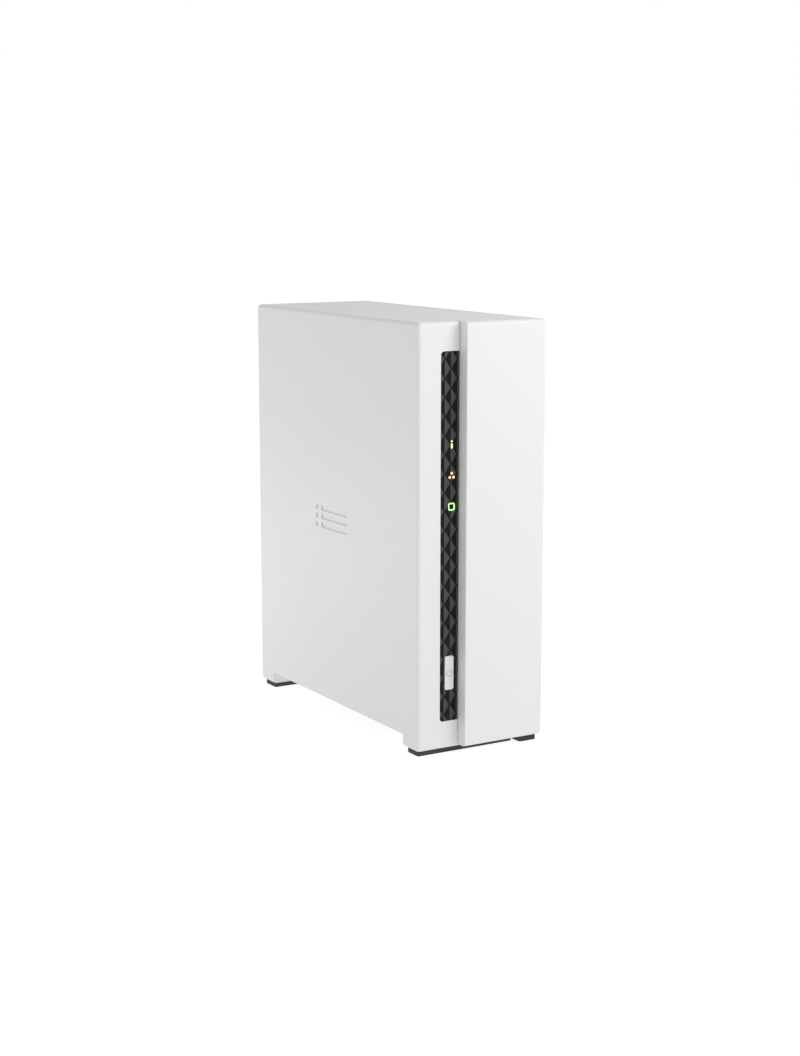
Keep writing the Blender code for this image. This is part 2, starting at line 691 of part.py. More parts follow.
def make_power_button():
    """Button cap with its retaining flange and stem, on the switch's plunger."""
    middle_x = sum(BUTTON_X) / 2
    middle_z = sum(BUTTON_Z) / 2
    flange_y = (STRIP_FLANGE_Y[1] + GAP, STRIP_FLANGE_Y[1] + GAP + 0.8 * MM)
    stem_y = (flange_y[1] - 0.4 * MM, -66.6 * MM)
    button = block("power_button", BUTTON_X, (BUTTON_FRONT, flange_y[1]), BUTTON_Z,
                   radius=0.9 * MM, along="y")
    join(
        button,
        tool("button_flange", grow(BUTTON_X, 1.0 * MM), flange_y, grow(BUTTON_Z, 1.2 * MM)),
        tool_rod("button_stem", (middle_x, sum(stem_y) / 2, middle_z), 1.5 * MM,
                 stem_y[1] - stem_y[0], "+Y", 12),
    )
    paint(button, WHITE_PLASTIC)

    plunger_y = mm(-66.3, -63.5)
    plunger = rod("power_switch_plunger", (middle_x, sum(plunger_y) / 2, middle_z), 1.6 * MM,
                  plunger_y[1] - plunger_y[0], "+Y")
    paint(plunger, BLACK_PLASTIC)

    switch_y = (-65.1 * MM, LIGHT_BOARD_Y[0] - GAP)
    switch = block("power_switch", about(middle_x, 3.0 * MM), switch_y, about(middle_z, 3.0 * MM),
                   radius=0.4 * MM, along="y")
    cut(switch, tool_rod("switch_bore", (middle_x, -65.1 * MM, middle_z), 2.0 * MM, 5.4 * MM, "+Y"))
    paint(switch, STEEL)
    on_pivot("power_button_axis", (middle_x, BUTTON_FRONT, middle_z), button, plunger)


def make_light_board():
    """Board with its three LEDs soldered on, held by one screw and one pin."""
    board = block("light_board", LIGHT_BOARD_X, LIGHT_BOARD_Y, LIGHT_BOARD_Z)
    middle_y = sum(LIGHT_BOARD_Y) / 2
    posts = (LIGHT_BOARD_SCREW_POST, LIGHT_BOARD_PIN_POST)
    holes = [rod_maker((x, middle_y, z), 1.4 * MM, 6.0 * MM, "+Y", 12) for x, z in posts]
    led_y = (-62.7 * MM, middle_y)
    led_size = (2.8 * MM, led_y[1] - led_y[0], 2.0 * MM)
    leds = [box_maker((LIGHT_X, sum(led_y) / 2, z), led_size)
            for z in (136.4 * MM, NETWORK_Z, DISK_LIGHT_Z)]
    join(board, many("leds", leds))
    cut(board, many("light_board_holes", holes))
    paint(board, CIRCUIT_GREEN)
    x, z = LIGHT_BOARD_SCREW_POST
    screw_piece("light_board_screw", (x, LIGHT_BOARD_Y[1] + GAP, z), "+Y", 2.2 * MM, 1.3 * MM,
                0.9 * MM, 6.0 * MM)
    header = block("board_link_header", (ON_BOARD, -19.0 * MM), (LIGHT_BOARD_Y[1] + GAP, -52.0 * MM),
                   mm(78.0, 96.0), radius=0.3 * MM)
    paint(header, BLACK_PLASTIC)


# ---------------------------------------------------------------- main board


def make_main_board():
    board = block("main_board", MAIN_BOARD_X, MAIN_BOARD_Y, MAIN_BOARD_Z)
    middle_x = sum(MAIN_BOARD_X) / 2
    posts = BOARD_SCREW_POSTS + BOARD_PIN_POSTS
    holes = [rod_maker((middle_x, y, z), 1.45 * MM, 6.0 * MM, "+X", 12) for y, z in posts]
    cut(board, many("main_board_holes", holes))
    paint(board, CIRCUIT_GREEN)
    for name, (y, z) in zip(("board_screw_front", "board_screw_rear"), BOARD_SCREW_POSTS):
        screw_piece(name, (ON_BOARD, y, z), "+X", 2.5 * MM, 1.5 * MM, 1.0 * MM, 4.6 * MM)


def chip(name, y, z, height, finish=CHIP_BLACK):
    """A flat package on the main board."""
    return paint(block(name, (ON_BOARD, ON_BOARD + height), y, z, radius=0.3 * MM), finish)


def make_board_parts():
    chip("processor_chip", mm(-1.0, 17.0), mm(59.0, 77.0), 1.6 * MM)
    chip("memory_chip", mm(28.0, 39.0), mm(60.0, 74.0), 1.2 * MM)
    chip("network_transformer", mm(36.0, 49.0), mm(34.0, 50.0), 6.0 * MM)
    height = 9.0 * MM
    radius = 4.0 * MM
    can = (
        (0.0, height - 0.3 * MM),
        (radius * 0.75, height - 0.3 * MM),
        (radius * 0.85, height),
        (radius, height - 0.5 * MM),
        (radius, 1.6 * MM),
        (radius * 0.9, 1.2 * MM),
        (radius, 0.8 * MM),
        (radius, 0.0),
        (0.0, 0.0),
    )
    paint(turned("capacitor", can, (ON_BOARD, 27.0 * MM, 28.0 * MM), "+X"), ALUMINIUM)
    buzzer_height = 5.0 * MM
    buzzer = (
        (0.0, buzzer_height - 1.5 * MM),
        (1.0 * MM, buzzer_height - 1.5 * MM),
        (1.0 * MM, buzzer_height),
        (4.2 * MM, buzzer_height),
        (4.6 * MM, buzzer_height - 0.4 * MM),
        (4.6 * MM, 0.0),
        (0.0, 0.0),
    )
    paint(turned("buzzer", buzzer, (ON_BOARD, -42.0 * MM, 62.0 * MM), "+X"), BLACK_PLASTIC)

    holder_rim = 4.6 * MM
    holder = (
        (0.0, 1.0 * MM),
        (10.3 * MM, 1.0 * MM),
        (10.3 * MM, holder_rim),
        (11.8 * MM, holder_rim),
        (11.8 * MM, 0.0),
        (0.0, 0.0),
    )
    battery_at = (ON_BOARD, -38.0 * MM, 40.0 * MM)
    paint(turned("battery_holder", holder, battery_at, "+X", 24), BLACK_PLASTIC)
    cell_low = 1.0 * MM + GAP
    cell_high = cell_low + 3.2 * MM
    cell = ((0.0, cell_high), (9.5 * MM, cell_high), (10.0 * MM, cell_high - 0.5 * MM),
            (10.0 * MM, cell_low), (0.0, cell_low))
    paint(turned("clock_battery", cell, battery_at, "+X", 24), STEEL)


def make_heat_sink():
    """Finned block on the processor; the fins stand along Z so that air rises through."""
    fins = 8
    pitch = 4.0 * MM
    fin = 1.2 * MM
    width = (fins - 1) * pitch + fin
    base_x = ON_BOARD + 1.6 * MM + GAP
    root = base_x + 2.2 * MM
    tip = base_x + 9.5 * MM
    start = 8.0 * MM - width / 2
    outline = [(base_x, start)]
    for i in range(fins):
        near = start + i * pitch
        if i:
            outline.append((root, near))
        outline.append((tip, near))
        outline.append((tip, near + fin))
        if i < fins - 1:
            outline.append((root, near + fin))
    outline.append((base_x, start + width))
    sink = prism("heat_sink", outline, 30.0 * MM, (0.0, 0.0, 68.0 * MM), SEEN_FROM_ABOVE)
    paint(sink, ALUMINIUM)


def make_sockets():
    """Sockets of the rear wall, each soldered to the main board."""
    mouth = SOCKET_FACE + OVER
    lan = block("lan_socket", LAN_X, (55.6 * MM, SOCKET_FACE), LAN_Z, radius=0.4 * MM)
    lan_middle = sum(LAN_Z) / 2
    cut(
        lan,
        tool("lan_mouth", mm(-21.5, -13.2), (63.5 * MM, mouth), about(lan_middle, 5.9 * MM)),
        tool("lan_latch", mm(-13.6, -11.2), (63.5 * MM, mouth), about(lan_middle, 3.1 * MM)),
    )
    paint(lan, STEEL)

    for name, bottom in USB_BOTTOMS.items():
        port = block(name, USB_X, (59.5 * MM, SOCKET_FACE), (bottom, bottom + USB_HEIGHT),
                     radius=0.4 * MM)
        middle = bottom + USB_HEIGHT / 2
        cut(port, tool(name + "_mouth", mm(-22.4, -17.4), (63.5 * MM, mouth), about(middle, 6.2 * MM)))
        join(port, tool(name + "_tongue", mm(-21.4, -19.6), (62.5 * MM, SOCKET_FACE - 1.2 * MM),
                        about(middle, 5.4 * MM)))
        paint(port, STEEL)

    inlet = block("power_inlet", INLET_X, (62.4 * MM, SOCKET_FACE), INLET_Z, radius=0.4 * MM)
    axis_x = sum(INLET_X) / 2
    axis_z = sum(INLET_Z) / 2
    cut(inlet, tool_rod("inlet_bore", (axis_x, 71.5 * MM, axis_z), 3.15 * MM, 13.0 * MM, "+Y", 20))
    join(inlet, tool_rod("inlet_pin", (axis_x, 69.7 * MM, axis_z), 1.1 * MM, 11.0 * MM, "+Y", 12))
    paint(inlet, BLACK_PLASTIC)


def make_reset():
    x, z = RESET_AT
    switch = block("reset_switch", (ON_BOARD, -18.3 * MM), mm(66.0, 70.0), about(z, 2.5 * MM),
                   radius=0.3 * MM)
    cut(switch, tool_rod("reset_bore", (x, 69.4 * MM, z), 1.1 * MM, 5.2 * MM, "+Y", 12))
    paint(switch, BLACK_PLASTIC)
    tip_y = 75.6 * MM
    foot_y = 67.7 * MM
    plunger = rod("reset_plunger", (x, (tip_y + foot_y) / 2, z), 0.8 * MM, tip_y - foot_y, "+Y", 12)
    paint(plunger, BLACK_PLASTIC)
    on_pivot("reset_axis", (x, tip_y, z), plunger)


# ---------------------------------------------------------------- fan


def make_fan():
    x, y, z = FAN_CENTRE
    frame_y = about(y, FAN_DEPTH / 2)
    half = FAN_SIZE / 2
    frame = block("fan_frame", about(x, half), frame_y, about(z, half), radius=3.0 * MM, along="y")
    corner_holes = []
    for dx in (-FAN_HOLE_PITCH, FAN_HOLE_PITCH):
        for dz in (-FAN_HOLE_PITCH, FAN_HOLE_PITCH):
            corner_holes.append(rod_maker((x + dx, y, z + dz), 1.9 * MM, 14.0 * MM, "+Y", 12))
    cut(frame, tool_rod("fan_bore", FAN_CENTRE, FAN_BORE, 14.0 * MM, "+Y", 40),
        many("fan_corner_holes", corner_holes))
    plate_y = (frame_y[1] - 2.4 * MM, frame_y[1] - 0.2 * MM)
    plate_middle = sum(plate_y) / 2
    spokes = []
    for quarter in range(2):
        size = (2.4 * MM, plate_y[1] - plate_y[0], FAN_BORE * 2 + 1.0 * MM)
        bar = tool(f"fan_spoke_{quarter}", about(x, size[0] / 2), plate_y, about(z, size[2] / 2))
        bar.rotation_euler.y = math.radians(45 + 90 * quarter)
        spokes.append(bar)
    hub = tool_rod("fan_hub_plate", (x, plate_middle, z), 11.0 * MM, plate_y[1] - plate_y[0] + 0.1 * MM,
                   "+Y", 24)
    join(frame, hub, *spokes)
    cut(frame, tool_rod("fan_bearing", (x, plate_middle, z), 1.4 * MM, 8.0 * MM, "+Y", 12))
    paint(frame, BLACK_PLASTIC)

    hub_back = plate_y[0] - 0.5 * MM - y
    hub_front = -4.3 * MM
    profile = (
        (0.0, hub_back + 1.8 * MM),
        (1.0 * MM, hub_back + 1.8 * MM),
        (1.0 * MM, hub_back),
        (10.5 * MM, hub_back),
        (10.5 * MM, hub_front + 0.8 * MM),
        (9.7 * MM, hub_front),
        (0.0, hub_front),
    )
    rotor = turned("fan_rotor", profile, FAN_CENTRE, "+Y", 24)
    blades = []
    for number in range(FAN_BLADES):
        blade = tool(f"fan_blade_{number}", mm(-0.6, 0.6), mm(-3.4, 3.4), mm(-6.4, 6.4))
        around = Matrix.Rotation(math.tau * number / FAN_BLADES, 4, "Y")
        out = Matrix.Translation((0.0, -0.6 * MM, 16.2 * MM))
        pitch = Matrix.Rotation(math.radians(48), 4, "Z")
        blade.matrix_world = Matrix.Translation(FAN_CENTRE) @ around @ out @ pitch
        blades.append(blade)
    join(rotor, *blades)
    paint(rotor, BLACK_PLASTIC)
    on_pivot("fan_axis", FAN_CENTRE, rotor)

    number = 1
    for dz in (-FAN_HOLE_PITCH, FAN_HOLE_PITCH):
        for dx in (-FAN_HOLE_PITCH, FAN_HOLE_PITCH):
            seat = (x + dx, REAR_OUTER + GAP, z + dz)
            screw_piece(f"fan_screw_{number}", seat, "+Y", 2.9 * MM, 1.2 * MM, 1.5 * MM, 9.5 * MM)
            number += 1


def make_fan_lead():
    """Short lead from the fan to its header on the main board."""
    header = block("fan_header", (ON_BOARD, -18.3 * MM), mm(49.0, 55.0), mm(88.0, 97.0),
                   radius=0.3 * MM)
    paint(header, LED_WHITE)
    start = Vector((-15.0 * MM, FAN_CENTRE.y - 3.0 * MM, FAN_CENTRE.z - FAN_SIZE / 2 - GAP))
    end = Vector((-18.3 * MM + GAP, 52.0 * MM, 92.5 * MM))
    down = start - Vector((0.0, 0.0, 16.0 * MM))
    out = end + Vector((9.0 * MM, 0.0, 0.0))
    curve = bpy.data.curves.new("fan_lead", "CURVE")
    curve.dimensions = "3D"
    curve.bevel_depth = 1.1 * MM
    curve.bevel_resolution = 2
    curve.use_fill_caps = True
    route = geometry.interpolate_bezier(start, down, out, end, 16)
    spline = curve.splines.new("POLY")
    spline.points.add(len(route) - 1)
    for point, place in zip(spline.points, route):
        point.co = (*place, 1.0)
    lead = bpy.data.objects.new("fan_lead", curve)
    PARTS.objects.link(lead)
    paint(lead, CHIP_BLACK)


# ---------------------------------------------------------------- disk and its frame


def make_drive_frame():
    """Folded steel channel: back plate, two flanges, feet on the tray, an arm to the wall."""
    flange_out = 8.5 * MM
    front_y = (DISK_Y[0] - GAP - FRAME_SHEET, DISK_Y[0] - GAP)
    rear_y = (DISK_Y[1] + GAP, DISK_Y[1] + GAP + FRAME_SHEET)
    outline = (
        (flange_out, front_y[0]),
        (flange_out, front_y[1]),
        (FRAME_PLATE_X[1], front_y[1]),
        (FRAME_PLATE_X[1], rear_y[0]),
        (flange_out, rear_y[0]),
        (flange_out, rear_y[1]),
        (FRAME_PLATE_X[0], rear_y[1]),
        (FRAME_PLATE_X[0], front_y[0]),
    )
    frame = prism("drive_frame", outline, FRAME_Z[1] - FRAME_Z[0], (0.0, 0.0, sum(FRAME_Z) / 2),
                  SEEN_FROM_ABOVE)
    leg_z = (FRAME_FOOT_TOP - FRAME_SHEET, FRAME_Z[0] + 1.0 * MM)
    pieces = []
    for side, y in zip(("front", "rear"), FRAME_FEET_Y):
        pieces.append(tool(f"frame_leg_{side}", FRAME_PLATE_X, y, leg_z))
        pieces.append(tool(f"frame_foot_{side}", (FRAME_PLATE_X[0], 2.4 * MM), y,
                           (leg_z[0], FRAME_FOOT_TOP)))
    arm_y = about(FRAME_WALL_POST[0], 9.0 * MM)
    arm_z = (FRAME_Z[1] - FRAME_SHEET, FRAME_Z[1])
    pieces.append(tool("frame_arm", (FRAME_TAB_X[0], FRAME_PLATE_X[1]), arm_y, arm_z))
    pieces.append(tool("frame_tab", FRAME_TAB_X, arm_y, (156.0 * MM, arm_z[1])))
    join(frame, *pieces)

    wall_y, wall_z = FRAME_WALL_POST
    holes = [rod_maker((sum(FRAME_TAB_X) / 2, wall_y, wall_z), 1.6 * MM, 5.0 * MM, "+X", 12)]
    for x, y in FRAME_FEET:
        holes.append(rod_maker((x, y, FRAME_FOOT_TOP), 1.6 * MM, 5.0 * MM, "+Z", 12))
    slot_x = about(DISK_SCREW_X, 1.9 * MM)
    windows = [
        tool("frame_window_front", grow(FRAME_PLATE_X, OVER), mm(-42.0, -8.0), mm(62.0, 150.0),
             radius=4.0 * MM, along="x"),
        tool("frame_window_rear", grow(FRAME_PLATE_X, OVER), mm(6.0, 40.0), mm(62.0, 150.0),
             radius=4.0 * MM, along="x"),
    ]
    for side, y in (("front", front_y), ("rear", rear_y)):
        for level, z in zip(("lower", "upper"), DISK_SCREW_Z):
            slot_z = (z - 1.9 * MM, z + DISK_TRAVEL + 2.2 * MM)
            windows.append(tool(f"frame_slot_{side}_{level}", slot_x, grow(y, OVER), slot_z))
    cut(frame, many("frame_holes", holes), *windows)
    paint(frame, STEEL)

    for name, (x, y) in zip(("frame_screw_front", "frame_screw_rear"), FRAME_FEET):
        screw_piece(name, (x, y, FRAME_FOOT_TOP + GAP), "+Z", 2.6 * MM, 1.6 * MM, 1.1 * MM, 4.8 * MM)


def make_backplane():
    """Board that carries the disk's socket, plugged into the main board by its edge."""
    slot_y = mm(-27.0, 3.0)
    slot = block("backplane_slot", (ON_BOARD, -17.5 * MM), slot_y, mm(15.6, 23.0), radius=0.3 * MM)
    cut(slot, tool("backplane_slot_mouth", mm(-21.8, -15.0), grow(slot_y, -1.5 * MM),
                   grow(BACKPLANE_Z, GAP)))
    paint(slot, BLACK_PLASTIC)
    edge_y = grow(slot_y, -1.5 * MM - GAP)
    board = block("disk_backplane", mm(-16.6, 6.6), mm(-36.0, 12.0), BACKPLANE_Z)
    join(board, tool("backplane_edge", mm(-21.4, -15.0), edge_y, BACKPLANE_Z))
    post_x, post_y = BACKPLANE_POST
    cut(board, tool_rod("backplane_hole", (post_x, post_y, BACKPLANE_Z[0]), 1.5 * MM, 6.0 * MM, "+Z", 12))
    paint(board, CIRCUIT_GREEN)

    socket = block("disk_socket", mm(-5.7, -0.1), grow(PLUG_Y, 3.0 * MM),
                   (BACKPLANE_Z[1] + GAP, SLOT_TOP), radius=0.3 * MM)
    cut(socket, tool("disk_socket_slot", grow(PLUG_X, GAP), grow(PLUG_Y, 0.4 * MM),
                     (27.6 * MM, SLOT_TOP + OVER)))
    paint(socket, BLACK_PLASTIC)


def make_disk():
    """The 3.5 inch disk, whose screws and connector leave with it."""
    x0, x1 = DISK_X
    lid_x = (x1 - 1.2 * MM, x1)
    body = block("disk_body", (x0, lid_x[0] - GAP), DISK_Y, DISK_Z, radius=2.5 * MM, along="x")
    notch_y = grow(PLUG_Y, 3.8 * MM)
    chamber_x = (2.6 * MM, x1)
    board_y = mm(-46.0, 44.0)
    board_z = mm(38.0, 98.0)
    holes = []
    for z in DISK_SCREW_Z:
        holes.append(rod_maker((DISK_SCREW_X, DISK_Y[0], z), 1.75 * MM, 10.0 * MM, "+Y", 12))
        holes.append(rod_maker((DISK_SCREW_X, DISK_Y[1], z), 1.75 * MM, 10.0 * MM, "+Y", 12))
    cut(
        body,
        tool_rod("platter_chamber", (sum(chamber_x) / 2, SPINDLE.y, SPINDLE.z), 48.6 * MM,
                 chamber_x[1] - chamber_x[0], "+X", 48),
        tool("arm_chamber", chamber_x, mm(-46.0, 44.0), mm(40.0, 106.0)),
        tool("disk_board_recess", (x0 - OVER, x0 + 1.7 * MM), grow(board_y, GAP), grow(board_z, GAP)),
        tool("disk_notch", (x0 - OVER, 0.5 * MM), notch_y, (DISK_Z[0] - OVER, 37.0 * MM)),
        many("disk_side_holes", holes),
    )
    paint(body, ALUMINIUM)
    lid = block("disk_lid", lid_x, grow(DISK_Y, -0.4 * MM), grow(DISK_Z, -0.4 * MM),
                radius=2.2 * MM, along="x")
    paint(lid, ALUMINIUM)
    board = block("disk_board", (x0, x0 + 1.4 * MM), board_y, board_z, radius=2.0 * MM, along="x")
    paint(board, CIRCUIT_GREEN)
    plug = block("disk_plug", mm(-5.6, 0.1), grow(PLUG_Y, 3.2 * MM), mm(33.3, 36.6), radius=0.2 * MM)
    join(plug, tool("disk_plug_blade", PLUG_X, PLUG_Y, mm(28.3, 34.0)))
    paint(plug, BLACK_PLASTIC)

    hub = 12.5 * MM
    edge = PLATTER_RADIUS
    profile = (
        (0.0, 16.6 * MM), (hub, 16.6 * MM), (hub, 13.2 * MM), (edge, 13.2 * MM), (edge, 12.0 * MM),
        (hub, 12.0 * MM), (hub, 8.2 * MM), (edge, 8.2 * MM), (edge, 7.0 * MM), (hub, 7.0 * MM),
        (hub, 3.2 * MM), (0.0, 3.2 * MM),
    )
    platters = paint(turned("disk_platters", profile, SPINDLE, "+X", 36), STEEL)
    on_pivot("spindle_axis", SPINDLE, platters)

    arm = make_head_arm()
    on_pivot("head_arm_axis", ARM_PIVOT, arm)

    moving = [body, lid, board, plug]
    for z, level in zip(DISK_SCREW_Z, ("lower", "upper")):
        front = (DISK_SCREW_X, DISK_Y[0] - 2 * GAP - FRAME_SHEET, z)
        rear = (DISK_SCREW_X, DISK_Y[1] + 2 * GAP + FRAME_SHEET, z)
        moving.append(screw_piece(f"disk_screw_front_{level}", front, "-Y", 3.0 * MM, 1.6 * MM,
                                  1.4 * MM, 5.6 * MM))
        moving.append(screw_piece(f"disk_screw_rear_{level}", rear, "+Y", 3.0 * MM, 1.6 * MM,
                                  1.4 * MM, 5.6 * MM))
    on_pivot("disk_axis", (0.0, 0.0, DISK_Z[0]), *moving)


def make_head_arm():
    """Pivot with three head arms towards the platters and a coil paddle behind it."""
    arm = rod("disk_head_arm", (10.1 * MM, ARM_PIVOT.y, ARM_PIVOT.z), 6.5 * MM, 13.4 * MM, "+X", 20)
    blade = (
        (-4.0 * MM, 0.0), (4.0 * MM, 0.0), (1.5 * MM, ARM_LENGTH), (-1.5 * MM, ARM_LENGTH),
    )
    paddle = ((-4.0 * MM, 0.0), (-8.5 * MM, -20.0 * MM), (8.5 * MM, -20.0 * MM), (4.0 * MM, 0.0))
    tilt = Matrix.Rotation(-ARM_REST, 4, "X")
    pieces = []
    for number, middle in enumerate(mm(5.4, 10.1, 14.8)):
        place = (middle, ARM_PIVOT.y, ARM_PIVOT.z)
        pieces.append(prism(f"arm_blade_{number}", blade, 1.0 * MM, place,
                            tilt @ SEEN_FROM_SIDE, CUTTERS))
    pieces.append(prism("arm_paddle", paddle, 2.4 * MM, (10.1 * MM, ARM_PIVOT.y, ARM_PIVOT.z),
                        tilt @ SEEN_FROM_SIDE, CUTTERS))
    join(arm, *pieces)
    return paint(arm, ALUMINIUM)


# ---------------------------------------------------------------- assembly

make_base_shell()
cover = make_case_cover()
make_cover_screws()
feet = make_feet()
on_pivot("cover_axis", (0.0, 0.0, 0.0), cover, feet["cover_foot_front"], feet["cover_foot_rear"])
make_front_strip()
make_light_pipes()
make_power_button()
make_light_board()
make_main_board()
make_board_parts()
make_heat_sink()
make_sockets()
make_reset()
make_fan()
make_fan_lead()
make_drive_frame()
make_backplane()
make_disk()
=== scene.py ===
"""Looks of the one-bay network attached storage unit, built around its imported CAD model.

Lengths are written in millimetres and turned into metres by MM. The frame is the CAD's:
the ground under the case is z = 0, and the front faces -Y.
"""
import json
import math
import random

import bmesh
import bpy
from mathutils import Matrix, Vector, geometry

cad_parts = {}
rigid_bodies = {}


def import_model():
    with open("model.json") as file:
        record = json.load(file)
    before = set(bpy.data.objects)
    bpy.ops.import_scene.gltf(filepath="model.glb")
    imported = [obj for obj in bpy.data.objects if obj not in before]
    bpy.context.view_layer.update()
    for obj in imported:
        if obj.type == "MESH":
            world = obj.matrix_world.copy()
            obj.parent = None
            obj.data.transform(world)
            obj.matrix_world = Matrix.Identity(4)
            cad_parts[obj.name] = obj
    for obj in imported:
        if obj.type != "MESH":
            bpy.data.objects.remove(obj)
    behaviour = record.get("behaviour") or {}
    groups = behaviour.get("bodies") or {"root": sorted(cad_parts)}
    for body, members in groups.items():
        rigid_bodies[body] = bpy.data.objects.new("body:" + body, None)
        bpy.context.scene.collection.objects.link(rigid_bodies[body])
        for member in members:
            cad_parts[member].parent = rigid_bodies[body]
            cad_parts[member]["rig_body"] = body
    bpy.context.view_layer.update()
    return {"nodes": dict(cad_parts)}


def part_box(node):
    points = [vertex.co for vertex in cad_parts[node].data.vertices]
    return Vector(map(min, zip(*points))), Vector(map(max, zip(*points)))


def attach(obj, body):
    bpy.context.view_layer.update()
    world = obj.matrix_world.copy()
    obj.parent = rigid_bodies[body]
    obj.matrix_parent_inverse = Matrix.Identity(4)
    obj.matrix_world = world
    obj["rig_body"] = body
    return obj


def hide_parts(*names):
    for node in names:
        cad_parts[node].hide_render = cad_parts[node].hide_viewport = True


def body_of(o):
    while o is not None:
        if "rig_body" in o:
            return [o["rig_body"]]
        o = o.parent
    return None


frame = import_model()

MM = 0.001
NODES = frame["nodes"]
SCENE = bpy.context.scene


def span(node, axis):
    """Lowest and highest place of a CAD node along one axis, in millimetres."""
    low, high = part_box(node)
    return low[axis] / MM, high[axis] / MM


def middle(node):
    """Middle of a CAD node's box, in millimetres."""
    low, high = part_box(node)
    return (Vector(low) + Vector(high)) / 2 / MM


# ---------------------------------------------------------------- materials


def grey(value):
    return value, value, value


class Look:
    """A material: its Principled shader, and the nodes that feed it."""

    def __init__(self, name, colour, roughness, **sockets):
        self.material = bpy.data.materials.new(name)
        self.material.use_nodes = True
        self.tree = self.material.node_tree
        self.shader = self.tree.nodes["Principled BSDF"]
        self.shader.inputs["Base Color"].default_value = (*colour, 1.0)
        self.shader.inputs["Roughness"].default_value = roughness
        for socket, value in sockets.items():
            self.shader.inputs[socket.replace("_", " ")].default_value = value
        self.place = self.add("ShaderNodeTexCoord").outputs["Object"]
        self.normal = None

    def add(self, kind, **settings):
        node = self.tree.nodes.new(kind)
        for name, value in settings.items():
            setattr(node, name, value)
        return node

    def feed(self, node, **inputs):
        """Gives each input a plain value or another node's output; i0 is the first input."""
        for name, value in inputs.items():
            numbered = name[0] == "i" and name[1:].isdigit()
            socket = node.inputs[int(name[1:]) if numbered else name]
            if isinstance(value, bpy.types.NodeSocket):
                self.tree.links.new(value, socket)
            else:
                socket.default_value = value
        return node

    def stretched(self, scale):
        """The object's own coordinates, scaled along each axis."""
        return self.feed(self.add("ShaderNodeMapping"), Vector=self.place, Scale=scale).outputs[0]

    def noise(self, per_mm, detail=2.0, stretch=None):
        """Soft noise with so many features in a millimetre."""
        place = self.stretched(stretch) if stretch else self.place
        node = self.feed(self.add("ShaderNodeTexNoise"), Vector=place, Scale=per_mm / MM, Detail=detail)
        return node.outputs["Fac"]

    def cells(self, per_mm):
        """Flat cells, with a random value in each."""
        cells = self.feed(self.add("ShaderNodeTexVoronoi"), Vector=self.place, Scale=per_mm / MM)
        split = self.feed(self.add("ShaderNodeSeparateColor"), Color=cells.outputs["Color"])
        return split.outputs[0]

    def spread(self, factor, low, high, start=0.3, end=0.7):
        """The factor between start and end, spread from low to high."""
        node = self.add("ShaderNodeMapRange")
        self.feed(node, Value=factor, **{"From Min": start, "From Max": end, "To Min": low, "To Max": high})
        return node.outputs["Result"]

    def sums(self, operation, *values, kind="ShaderNodeMath", output="Value"):
        """The result of a sum, fed with its values in order."""
        node = self.add(kind, operation=operation)
        self.feed(node, **{f"i{index}": value for index, value in enumerate(values)})
        return node.outputs[output]

    def sums_vector(self, operation, *values, output="Vector"):
        return self.sums(operation, *values, kind="ShaderNodeVectorMath", output=output)

    def axis(self, name):
        """One of the object's own coordinates, in metres."""
        return self.feed(self.add("ShaderNodeSeparateXYZ"), Vector=self.place).outputs[name]

    def mix(self, factor, first, second):
        """A colour from first at 0 to second at 1."""
        node = self.add("ShaderNodeMix", data_type="RGBA")
        for index, value in ((0, factor), (6, first), (7, second)):
            value = (*value, 1.0) if isinstance(value, tuple) and len(value) == 3 else value
            self.feed(node, **{f"i{index}": value})
        return node.outputs[2]

    def colour(self, factor, first, second):
        self.feed(self.shader, **{"Base Color": self.mix(factor, first, second)})

    def gloss(self, factor, low, high):
        self.feed(self.shader, Roughness=self.spread(factor, low, high))

    def bump(self, height, depth, strength=1.0):
        """Relief so many millimetres deep, on top of any relief before it."""
        node = self.feed(self.add("ShaderNodeBump"), Height=height, Distance=depth * MM, Strength=strength)
        if self.normal:
            self.tree.links.new(self.normal, node.inputs["Normal"])
        self.normal = node.outputs["Normal"]
        self.tree.links.new(self.normal, self.shader.inputs["Normal"])


def moulded(name, first, second, roughness, grain=3.0, depth=0.012, **sockets):
    """Moulded plastic with a faint unevenness of tone, and a grain so many to the millimetre."""
    look = Look(name, first, roughness[0], **sockets)
    look.colour(look.noise(0.02, 3.0), first, second)
    look.gloss(look.noise(0.35, 4.0), *roughness)
    look.bump(look.noise(grain, 3.0), depth)
    look.bump(look.noise(0.03, 1.0), 0.05, 0.3)
    return look


